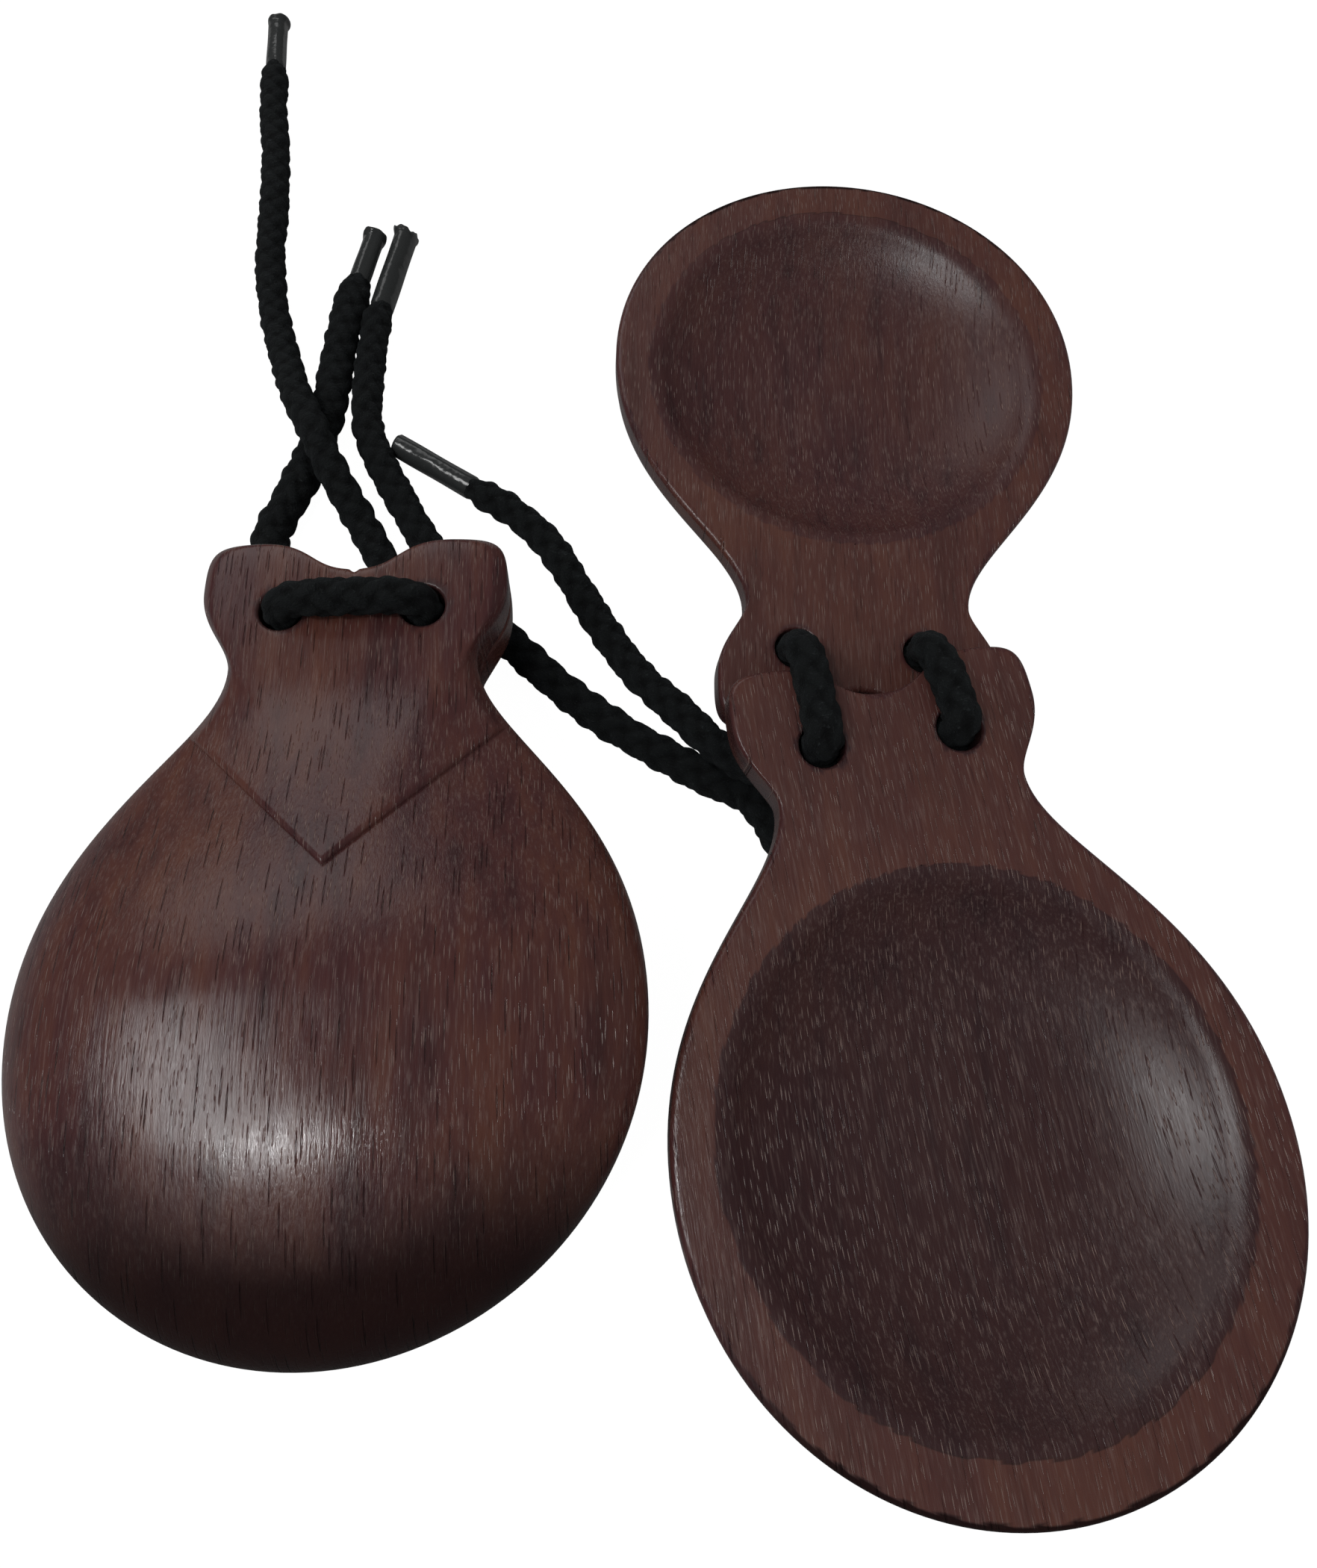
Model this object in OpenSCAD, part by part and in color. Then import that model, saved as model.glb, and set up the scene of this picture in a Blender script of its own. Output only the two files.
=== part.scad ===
// Two pairs of castanets with their cords. One pair lies closed, dome up. The other is folded
// open flat, bowls up, with the ears of one shell on the ears of the other.
// Millimetres, +Z up. The shells rest on Z = 0, and the origin is under the middle of the four.

/* [Shell outline] */
// Width of the round body
body_w = 68; // [56:0.1:82]
// Body centre to the lowest point of the body
body_drop = 33.2; // [28:0.1:41]
// Width across the neck
neck_w = 30.4; // [27:0.1:33]
// Body centre to the narrowest place of the neck
neck_y = 40.2; // [36:0.1:48]
// Width across the ears
ear_w = 38; // [34:0.1:46]
// Narrowest place of the neck to the widest place of the ears
ear_rise = 10.2; // [8:0.1:13]
// Distance between the tops of the two ears
ear_top_w = 25.6; // [22:0.1:29]
// Widest place of the ears to their tops
ear_top_rise = 6.6; // [5:0.1:8]
// Depth of the notch between the tops of the ears
notch_depth = 4.5; // [3:0.1:6]

/* [Shell section] */
// Flat joint face to the top of the dome
shell_t = 15; // [13:0.1:18]
// Thickness of the ears, with the neck plate
ear_t = 7; // [6:0.1:8.4]
// Height of the upright side wall above the joint face
wall_h = 3.2; // [2.5:0.1:5]
// Inset and height of the broken edge round the joint face
edge_break = 0.8; // [0.4:0.1:1.2]
// Height of the pointed neck plate above the dome
plate_step = 0.8; // [0.3:0.1:1.2]
// Body centre to the point of the neck plate
plate_tip_y = 13.3; // [10:0.1:18]
// Width of the flat rim beside the bowl
rim_w = 6.6; // [5:0.1:10]
// Depth of the bowl
bowl_depth = 6.5; // [5:0.1:8]
// Middle of the body to the middle of the bowl, towards the ears
bowl_shift = 1.8; // [0:0.1:3]

/* [Cord] */
// Thickness of the braided cord
cord_d = 4.6; // [3.8:0.1:4.6]
// Play of the cord in its holes, on the diameter
hole_play = 1; // [0.6:0.1:2]
// Distance between the two holes of a shell
hole_pitch = 17.2; // [15:0.1:20]
// Widest place of the ears back to the line of the holes
hole_drop = 3.7; // [3:0.1:5]
// Bend radius of the cord where it turns into a hole
cord_bend = 2.9; // [2.6:0.1:3.2]
// Diameter of a cord tip
tip_d = 3.2; // [2.6:0.1:3.8]
// Length of the left tip of the closed pair
closed_left_tip_l = 11.5; // [8:0.5:18]
// Length of the right tip of the closed pair
closed_right_tip_l = 14.5; // [8:0.5:18]
// Length of the left tip of the open pair
open_left_tip_l = 14; // [8:0.5:15]
// Length of the right tip of the open pair
open_right_tip_l = 18; // [8:0.5:22]
// Depth of the open end of a cord tip
tip_mouth = 3; // [1:0.5:5]
// Wall of a cord tip
tip_wall = 0.4; // [0.3:0.1:0.6]

/* [Layout] */
// Play between two joint faces, and between ear and ear
face_gap = 0.3; // [0.2:0.1:0.5]
// How far the ears of one open shell lie on those of the other
ear_lap = 6.4; // [4:0.1:7.7]
// Gap between the bodies of the two pairs, from left to right
pair_gap = 2.8; // [1:0.1:8]
// Fold line of the open pair, from the origin to the back
fold_y = -0.6; // [-5:0.1:5]
// Clockwise turn of the open pair, seen from above
fold_turn = -5.6; // [-15:0.1:15]
// Turn of each open shell away from the pair's own line
fold_splay = 4.7; // [0:0.1:8]
// Body centre of the closed pair, from the origin to the back
closed_y = -42.4; // [-60:0.1:0]
// Clockwise turn of the closed pair, seen from above
closed_turn = -5.2; // [-15:0.1:15]

/* [Hidden] */

ear_y = neck_y + ear_rise;
ear_top_y = ear_y + ear_top_rise;
notch_y = ear_top_y - notch_depth;

// The half outline, as knots from the foot of the body round to the notch
knots = [
    [0, -body_drop], [body_w / 2, 0], [neck_w / 2, neck_y],
    [ear_w / 2, ear_y], [ear_top_w / 2, ear_top_y], [0, notch_y]
];
// How far each curve runs straight out of its first and into its second knot
pulls = [
    [[0.53 * body_w / 2, 0], [0, -0.59 * body_drop]],
    [[0, 0.55 * neck_y], [0, -0.23 * neck_y]],
    [[0, 0.26 * (ear_y - neck_y)], [0, -0.48 * (ear_y - neck_y)]],
    [[0, 0.85 * (ear_top_y - ear_y)], [0.9 * (ear_w - ear_top_w) / 2, 0]],
    [[-0.55 * ear_top_w / 2, 0], [0.48 * ear_top_w / 2, 0]]
];
last_knot = len(knots) - 1;
// Where along the outline the edge of the neck plate starts, and the width of its step
plate_knot = 1.7;
plate_ramp = 0.01;
// Sampling of the half outline, as [from, to, steps]
spans = [
    [0, 1, 8], [1, plate_knot - plate_ramp, 5], [plate_knot + plate_ramp, 2, 2],
    [2, 3, 4], [3, 4, 4], [4, 5, 5]
];
stations = [
    for (s = spans)
        for (i = [(s[0] == 0 || s == spans[2] ? 0 : 1) : s[2]]) s[0] + (s[1] - s[0]) * i / s[2]
];
half = len(stations) - 1;
around = 2 * half;
// Ends of the middle line that the dome's ribs run to
spine_low = -5;
spine_high = notch_y - 3.5;
// Roundness of the dome and of the flat ears, as superellipse powers
dome_power = 2.1;
ear_power = 7;
// The dome has come down to the ears here, seen from the body centre
dome_end_y = neck_y - 2.2;
dome_rings = 9;

bowl_r = body_w / 2 - rim_w;
bowl_steps = 12;
bowl_lip = 0.2;
hole_d = cord_d + hole_play;
hole_y = ear_y - hole_drop;
// How far a cut runs past the face it opens
overshoot = 1;

// The fold of the open pair: reach from body centre to fold line, and ear to fold axis
fold_reach = ear_top_y - ear_lap / 2;
axis_drop = (ear_t + face_gap) / 2;
// The domes are rounder towards the foot, so the open pair lies rolled back a little
fold_roll = 0.26;
fold_tilt = atan2(axis_drop, fold_reach) - fold_roll;
fold_z = shell_t + 0.3;
// The two bodies lie side by side, the same distance from the origin
near_x = (body_w + pair_gap) / 2;
fold_x = near_x - turned(near_in_fold([0, 0, 0]), fold_turn).x;
closed_x = -near_x;

cord_r = cord_d / 2;
cord_sides = 8;
cord_play = 0.25;
// Height of a cord's middle when it lies on the surface
lying = cord_r + 0.1;
// Share of a bend that its middle point stays off the corner
bend_corner = 0.29;

function smooth(t) = let (x = min(1, max(0, t))) x * x * (3 - 2 * x);
function mix(a, b, t) = a + (b - a) * t;
function unit(v) = v / norm(v);

function bezier(a, b, c, d, t) =
    pow(1 - t, 3) * a + 3 * pow(1 - t, 2) * t * b + 3 * (1 - t) * t * t * c + pow(t, 3) * d;

// Point of the half outline at station k, from 0 at the foot to 5 at the notch
function edge_point(k) =
    let (i = min(floor(k), last_knot - 1), a = knots[i], b = knots[i + 1])
    bezier(a, a + pulls[i][0], b + pulls[i][1], b, k - i);

// Point of the middle line that the rib from station k runs to
function spine_y(k) =
    k <= plate_knot
        ? mix(spine_low, plate_tip_y, pow(k / plate_knot, 2))
        : let (w = (k - plate_knot) / (last_knot - plate_knot))
          mix(plate_tip_y, spine_high, 1 - pow(1 - w, 2));

// Thickness of the middle of the shell at distance y from the body centre, without the plate
function middle_t(y) = mix(shell_t, ear_t - plate_step, smooth(y / dome_end_y));
function rib_power(k) = mix(dome_power, ear_power, smooth((k - plate_knot) / 0.7));
function on_plate(k) = k > plate_knot ? plate_step : 0;

// Point of the outer face on the rib of station k, at angle a from the wall up to the top
function dome_point(k, a) =
    let (
        p = rib_power(k), out = pow(cos(a), 2 / p), up = pow(sin(a), 2 / p),
        e = edge_point(k), y = spine_y(k),
        xy = [e.x * out, mix(y, e.y, out)]
    )
    [xy.x, xy.y, -mix(wall_h, middle_t(xy.y), up) - on_plate(k) * min(1, 12 * (1 - out))];

// Point of the side wall at height h, moved in by inset
function wall_point(k, h, inset) =
    let (e = edge_point(k), d = unit([-e.x, spine_y(k) - e.y]))
    [e.x + d.x * inset, e.y + d.y * inset, -h];

function ring_point(ring, k) =
    ring == 0 ? wall_point(k, 0, edge_break)
    : ring == 1 ? wall_point(k, edge_break, 0)
    : dome_point(k, 90 * (ring - 2) / dome_rings);

function mirrored(p) = [-p.x, p.y, p.z];
function shell_ring(ring) =
    concat(
        [for (i = [0 : half]) ring_point(ring, stations[i])],
        [for (i = [half - 1 : -1 : 1]) mirrored(ring_point(ring, stations[i]))]
    );

// Solid shell without bowl or holes: joint face at z = 0, dome below, ears towards +Y
module shell_blank() {
    rings = dome_rings + 2;
    crest = [for (k = stations) dome_point(k, 90)];
    face_line = [for (k = stations) [0, spine_y(k), 0]];
    points = concat([for (r = [0 : rings - 1]) each shell_ring(r)], crest, face_line);
    at = function(r, j) r * around + j % around;
    rib = function(j) j <= half ? j : around - j;
    crest_at = function(j) rings * around + rib(j);
    face_at = function(j) rings * around + half + 1 + min(max(rib(j), 1), half - 1);
    walls = [
        for (r = [0 : rings - 2], j = [0 : around - 1])
            each [[at(r, j), at(r, j + 1), at(r + 1, j + 1)], [at(r, j), at(r + 1, j + 1), at(r + 1, j)]]
    ];
    crown = [
        for (j = [0 : around - 1])
            each [
                [at(rings - 1, j), at(rings - 1, j + 1), crest_at(j + 1)],
                [at(rings - 1, j), crest_at(j + 1), crest_at(j)]
            ]
    ];
    // At the foot and the notch the rib lies on the middle line, and has no second triangle
    face = [
        for (j = [0 : around - 1])
            each concat(
                [[at(0, j), face_at(j + 1), at(0, j + 1)]],
                face_at(j) == face_at(j + 1) ? [] : [[at(0, j), face_at(j), face_at(j + 1)]]
            )
    ];
    polyhedron(points, concat(face, walls, crown), convexity = 6);
}

// Round recess in the joint face: a short upright lip, then steep, then flat in the middle
module bowl() {
    flat = sin(90 / bowl_steps);
    profile = [
        for (i = [1 : bowl_steps])
            let (r = sin(90 * i / bowl_steps), x = (r - flat) / (1 - flat))
            [bowl_r * r, -bowl_lip - (bowl_depth - bowl_lip) * pow(1 - pow(x, 3), 0.9)]
    ];
    translate([0, bowl_shift, 0]) rotate_extrude($fn = 96)
        polygon(concat([[0, -bowl_depth]], profile, [[bowl_r, overshoot], [0, overshoot]]));
}

module cord_hole(side) {
    translate([side * hole_pitch / 2, hole_y, -ear_t - overshoot])
        cylinder(d = hole_d, h = ear_t + 2 * overshoot, $fn = 48);
}

module shell() {
    difference() {
        shell_blank();
        bowl();
        for (side = [-1, 1]) cord_hole(side);
    }
}

// Turns a point clockwise about Z, or tips it up about X
function turned(p, a) = [p.x * cos(a) + p.y * sin(a), p.y * cos(a) - p.x * sin(a), p.z];
function tipped(p, a) = [p.x, p.y * cos(a) - p.z * sin(a), p.y * sin(a) + p.z * cos(a)];

// From the fold's own frame, and from the shells' frames, to the model's
function fold_point(p) = turned(tipped(p, fold_tilt), fold_turn) + [fold_x, fold_y, fold_z];
function near_in_fold(p) = turned([p.x, p.y - fold_reach, p.z + axis_drop], -fold_splay);
function near_point(p) = fold_point(near_in_fold(p));
function closed_point(p) = turned(p, closed_turn) + [closed_x, closed_y, shell_t];

module in_fold() {
    translate([fold_x, fold_y, fold_z]) rotate([0, 0, -fold_turn]) rotate([fold_tilt, 0, 0]) children();
}

module in_near() {
    in_fold() rotate([0, 0, fold_splay]) translate([0, -fold_reach, axis_drop]) children();
}

module in_far() {
    in_fold() rotate([0, 0, 180 - fold_splay]) translate([0, -fold_reach, -axis_drop]) children();
}

module in_closed_bottom() {
    translate([closed_x, closed_y, shell_t]) rotate([0, 0, -closed_turn]) children();
}

module in_closed_top() {
    in_closed_bottom() translate([0, 0, face_gap]) rotate([0, 180, 0]) children();
}

// Tube of the cord along a list of points, with flat ends square to its run
module cord_tube(path) {
    last = len(path) - 1;
    runs = [for (i = [0 : last - 1]) unit(path[i + 1] - path[i])];
    along = [for (i = [0 : last]) unit(runs[max(i - 1, 0)] + runs[min(i, last - 1)])];
    first_side = unit(cross(along[0], [along[0].y, along[0].z, along[0].x + 1]));
    square_to = function(s, d) unit(s - (s * d) * d);
    sides = [
        for (i = 0, s = first_side; i <= last; i = i + 1, s = i > last ? s : square_to(s, along[i])) s
    ];
    points = [
        for (i = [0 : last], j = [0 : cord_sides - 1])
            let (a = 360 * (j + 0.5) / cord_sides)
            path[i] + cord_r * (cos(a) * sides[i] + sin(a) * cross(along[i], sides[i]))
    ];
    at = function(i, j) i * cord_sides + j % cord_sides;
    skin = [
        for (i = [0 : last - 1], j = [0 : cord_sides - 1])
            each [[at(i, j), at(i + 1, j), at(i + 1, j + 1)], [at(i, j), at(i + 1, j + 1), at(i, j + 1)]]
    ];
    ends = [
        [for (j = [0 : cord_sides - 1]) at(0, j)],
        [for (j = [cord_sides - 1 : -1 : 0]) at(last, j)]
    ];
    polyhedron(points, concat(ends, skin), convexity = 10);
}

// Length of cord that goes down one hole, across the outer face and up the other
function staple_path(start) =
    let (
        u = hole_pitch / 2, low = -ear_t - cord_play - cord_r, b = cord_bend,
        turn = [[u, low + b], [u - bend_corner * b, low + bend_corner * b], [u - b, low]],
        way = concat([[u, start]], turn)
    )
    concat(
        [for (p = way) [p.x, hole_y, p.y]],
        [for (i = [len(way) - 1 : -1 : 0]) [-way[i].x, hole_y, way[i].y]]
    );

// Strand of the open pair from inside a near hole, over the ears, into the far hole
strand_start = 0;
strand_end = -5;
// How it drops into the far hole: [short of the hole, below the top]
strand_drop = [[2.8, 0.2], [0.7, 1.9], [0, 4.8]];
module strand(side) {
    hole = near_in_fold([side * hole_pitch / 2, hole_y, 0]);
    s = -hole.y;
    top = axis_drop + cord_play + cord_r;
    b = cord_bend;
    path = concat(
        [[-s, strand_start], [-s, top - b], [-s + bend_corner * b, top - bend_corner * b], [-s + b, top]],
        [for (d = strand_drop) [s - d.x, top - d.y]],
        [[s, strand_end]]
    );
    in_fold() cord_tube([for (p = path) [hole.x, p.x, p.y]]);
}

// Routes of the four loose ends, from below the hole to the tip
closed_left_route = [
    [-48.9, 5, 5.6], [-50.5, 8.5, 3.2], [-53.5, 13, lying], [-57.5, 19, lying], [-59, 25, lying],
    [-57.5, 31, lying], [-55.5, 39, lying], [-54.2, 48, lying], [-54.2, 57, lying], [-54, 64, 2.9],
    [-53.4, 71, 3.2], [-53, 74.5, 3.1]
];
closed_right_route = [
    [-31.9, 6.8, 5.4], [-34, 10, 3], [-38.5, 16.5, lying], [-45.5, 27.5, 3.2], [-50.3, 34.5, 5.8],
    [-54, 41, 7.4], [-58.5, 49, 6.1], [-62, 57, 3.6], [-66, 67.5, lying], [-68.8, 79, lying],
    [-70.3, 91, lying], [-72.3, 104, lying], [-74.8, 116, 2.6], [-76.3, 126.5, lying]
];
open_left_route = [
    [17.2, -9.2, 8], [14.1, -9.2, 6.8], [10.6, -8, 6.5], [6.6, -5.2, 6], [2, -0.2, 4.6],
    [-4, 6, 3], [-10, 14.5, lying], [-17, 25.5, lying], [-23, 31.3, lying], [-27, 33.7, 2.5],
    [-30, 35.5, lying]
];
open_right_route = [
    [34.7, -7.2, 6.6], [32.6, -10.6, 3.4], [28.6, -15.4, lying], [24.4, -19.4, lying],
    [20, -20.4, lying], [16.8, -18, lying], [14.6, -14.4, lying], [11.5, -11, lying],
    [6, -8.8, lying], [-8.5, -1, lying], [-20.5, 8.5, lying], [-32, 20, lying], [-42, 35, lying],
    [-47.1, 44.7, lying], [-48.6, 54, lying], [-49, 66.5, 2.5], [-48.6, 70, lying]
];

// The closed pair's cord is one piece: its parts stop this far inside each shell's joint face
cord_stop = 0.1;
function closed_tail(side, route) =
    concat([for (w = [-cord_stop, -ear_t]) closed_point([side * hole_pitch / 2, hole_y, w])], route);
function open_tail(side, route) =
    concat([for (w = [-axis_drop, -ear_t]) near_point([side * hole_pitch / 2, hole_y, w])], route);

// Hard plastic tip on the end of a route, open at its far end
module cord_tip(route, length) {
    end = route[len(route) - 1];
    d = unit(end - route[len(route) - 2]);
    translate(end) rotate([0, acos(d.z), atan2(d.y, d.x)]) difference() {
        cylinder(d = tip_d, h = length, $fn = 32);
        translate([0, 0, length - tip_mouth])
            cylinder(d = tip_d - 2 * tip_wall, h = tip_mouth + overshoot, $fn = 32);
    }
}

module open_near_shell() { color([0.25, 0.17, 0.17]) in_near() shell(); }
module open_far_shell() { color([0.30, 0.21, 0.20]) in_far() shell(); }
module closed_bottom_shell() { color([0.24, 0.16, 0.16]) in_closed_bottom() shell(); }
module closed_top_shell() { color([0.28, 0.19, 0.19]) in_closed_top() shell(); }

module cord_colour() { color([0.05, 0.06, 0.07]) children(); }
module tip_colour() { color([0.16, 0.17, 0.18]) children(); }

module open_cord_left_strand() { cord_colour() strand(-1); }
module open_cord_right_strand() { cord_colour() strand(1); }
module open_cord_far_crossing() { cord_colour() in_far() cord_tube(staple_path(strand_end + axis_drop)); }
module open_cord_left_tail() { cord_colour() cord_tube(open_tail(-1, open_left_route)); }
module open_cord_right_tail() { cord_colour() cord_tube(open_tail(1, open_right_route)); }
module open_left_tip() { tip_colour() cord_tip(open_left_route, open_left_tip_l); }
module open_right_tip() { tip_colour() cord_tip(open_right_route, open_right_tip_l); }
module closed_cord_crossing() { cord_colour() in_closed_top() cord_tube(staple_path(-cord_stop)); }
module closed_cord_left_tail() { cord_colour() cord_tube(closed_tail(-1, closed_left_route)); }
module closed_cord_right_tail() { cord_colour() cord_tube(closed_tail(1, closed_right_route)); }
module closed_left_tip() { tip_colour() cord_tip(closed_left_route, closed_left_tip_l); }
module closed_right_tip() { tip_colour() cord_tip(closed_right_route, closed_right_tip_l); }

open_near_shell();
open_far_shell();
closed_bottom_shell();
closed_top_shell();
open_cord_left_strand();
open_cord_right_strand();
open_cord_far_crossing();
open_cord_left_tail();
open_cord_right_tail();
open_left_tip();
open_right_tip();
closed_cord_crossing();
closed_cord_left_tail();
closed_cord_right_tail();
closed_left_tip();
closed_right_tip();
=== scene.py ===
"""Looks of two pairs of castanets: turned wooden shells on braided cords with plastic tips.

One pair lies closed, dome up. The other is folded open flat, with the ears of the near shell on
the ears of the far one. Sizes are in millimetres until a mesh is made, and in metres after that.
"""

import logging
import math
from dataclasses import dataclass, field, replace
from enum import Enum

import bmesh
import bpy
import numpy as np
from mathutils import Matrix


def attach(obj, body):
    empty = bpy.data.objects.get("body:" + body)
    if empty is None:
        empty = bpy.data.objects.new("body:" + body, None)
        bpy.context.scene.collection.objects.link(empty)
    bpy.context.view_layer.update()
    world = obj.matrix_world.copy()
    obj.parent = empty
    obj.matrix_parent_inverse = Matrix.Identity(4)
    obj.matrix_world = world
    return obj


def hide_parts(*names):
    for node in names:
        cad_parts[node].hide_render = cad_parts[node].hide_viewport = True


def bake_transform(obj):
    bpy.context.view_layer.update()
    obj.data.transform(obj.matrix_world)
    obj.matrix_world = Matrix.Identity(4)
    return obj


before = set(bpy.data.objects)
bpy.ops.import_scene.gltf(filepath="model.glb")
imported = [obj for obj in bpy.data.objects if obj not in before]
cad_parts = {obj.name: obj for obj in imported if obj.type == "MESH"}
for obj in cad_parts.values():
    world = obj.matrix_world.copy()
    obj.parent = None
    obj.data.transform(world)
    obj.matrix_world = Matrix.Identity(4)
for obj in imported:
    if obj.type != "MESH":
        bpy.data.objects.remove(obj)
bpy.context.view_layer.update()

MM = 0.001
CORD_D = 4.6
log = logging.getLogger("castanets")


# ---------------------------------------------------------------------------------------------
# Small helpers: places, curves and meshes


@dataclass
class Place:
    """Where a sub-assembly's own frame lies in the model's.

    Attributes:
        turn: 3 by 3 rotation from the own frame to the model's.
        origin: the own frame's origin, in millimetres.
    """

    turn: np.ndarray
    origin: np.ndarray

    def put(self, points: np.ndarray) -> np.ndarray:
        """Moves points (n, 3) from the own frame to the model's."""
        return np.asarray(points, float) @ self.turn.T + self.origin

    def inside(self, turn: np.ndarray, origin: np.ndarray) -> "Place":
        """Gives the place of a frame that lies in this one, turned by turn at origin."""
        return Place(self.turn @ turn, self.turn @ np.asarray(origin, float) + self.origin)


def turn_about(axis: str, degrees: float) -> np.ndarray:
    """Rotation matrix by the right-hand rule.

    Args:
        axis: "X", "Y" or "Z".
        degrees: the angle.

    Returns:
        The 3 by 3 matrix.
    """
    return np.array(Matrix.Rotation(math.radians(degrees), 3, axis), float)


def smooth(t: np.ndarray) -> np.ndarray:
    """Smoothstep: 3t^2 - 2t^3 with t held between 0 and 1."""
    t = np.clip(t, 0.0, 1.0)
    return t * t * (3.0 - 2.0 * t)


def mix(a: np.ndarray, b: np.ndarray, t: np.ndarray) -> np.ndarray:
    """Straight blend from a at t = 0 to b at t = 1."""
    return a + (b - a) * t


def unit(v: np.ndarray) -> np.ndarray:
    """Vectors (n, 3) brought to length 1."""
    return v / np.linalg.norm(v, axis=-1, keepdims=True)


def smooth_path(knots: np.ndarray, step: float) -> np.ndarray:
    """Smooth curve through knots, at even steps of length.

    Each stretch is a Catmull-Rom cubic: half of (2b + (c - a)t + (2a - 5b + 4c - d)t^2 +
    (3b - a - 3c + d)t^3) for the four knots a, b, c, d around it.

    Args:
        knots: points (n, 3) in millimetres.
        step: distance between two points of the result.

    Returns:
        Points (m, 3) with the same first and last point.
    """
    p = np.vstack([2 * knots[:1] - knots[1:2], knots, 2 * knots[-1:] - knots[-2:-1]])
    t = np.linspace(0.0, 1.0, 24, endpoint=False)[None, :, None]
    a, b, c, d = (p[i : len(knots) - 1 + i, None, :] for i in range(4))
    dense = 0.5 * (
        2 * b + (c - a) * t + (2 * a - 5 * b + 4 * c - d) * t**2 + (3 * b - a - 3 * c + d) * t**3
    )
    dense = np.vstack([dense.reshape(-1, 3), knots[-1:]])
    run = np.concatenate([[0.0], np.cumsum(np.linalg.norm(np.diff(dense, axis=0), axis=1))])
    at = np.linspace(0.0, run[-1], max(4, int(round(run[-1] / step)) + 1))
    return np.stack([np.interp(at, run, dense[:, i]) for i in range(3)], axis=1)


def grid_triangles(rows: int, columns: int, closed: bool) -> np.ndarray:
    """Triangles of a grid of points stored row by row.

    Args:
        rows: number of rows.
        columns: number of points in a row.
        closed: whether each row is a ring.

    Returns:
        Index triples (n, 3), two for each cell.
    """
    last = columns if closed else columns - 1
    r, c = np.meshgrid(np.arange(rows - 1), np.arange(last), indexing="ij")
    r, c, n = r.ravel(), c.ravel(), (c.ravel() + 1) % columns
    one, two = r * columns, (r + 1) * columns
    return np.vstack(
        [np.stack([one + c, one + n, two + n], 1), np.stack([one + c, two + n, two + c], 1)]
    )


def make_piece(
    name: str,
    points: np.ndarray,
    triangles: np.ndarray,
    vectors: dict[str, np.ndarray] | None = None,
    floats: dict[str, np.ndarray] | None = None,
) -> bpy.types.Object:
    """Makes a closed, smooth mesh object at the origin from whole arrays.

    Args:
        name: the object's name.
        points: vertices (n, 3) in millimetres, in the model's frame.
        triangles: index triples (m, 3).
        vectors: named point attributes (n, 3) for the materials.
        floats: named point attributes (n,) for the materials.

    Returns:
        The object, with doubled points merged and faces pointing outwards.
    """
    mesh = bpy.data.meshes.new(name)
    mesh.from_pydata((points * MM).tolist(), [], triangles.tolist())
    for key, values in (vectors or {}).items():
        mesh.attributes.new(key, "FLOAT_VECTOR", "POINT").data.foreach_set(
            "vector", np.ascontiguousarray(values, dtype=np.float32).ravel()
        )
    for key, values in (floats or {}).items():
        mesh.attributes.new(key, "FLOAT", "POINT").data.foreach_set(
            "value", np.ascontiguousarray(values, dtype=np.float32)
        )
    work = bmesh.new()
    work.from_mesh(mesh)
    bmesh.ops.remove_doubles(work, verts=work.verts, dist=2e-6)
    bmesh.ops.dissolve_degenerate(work, edges=work.edges, dist=1e-7)
    bmesh.ops.recalc_face_normals(work, faces=work.faces)
    work.to_mesh(mesh)
    work.free()
    mesh.polygons.foreach_set("use_smooth", np.ones(len(mesh.polygons), bool))
    made = bpy.data.objects.new(name, mesh)
    bpy.context.scene.collection.objects.link(made)
    return made


# ---------------------------------------------------------------------------------------------
# Finishes


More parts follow.
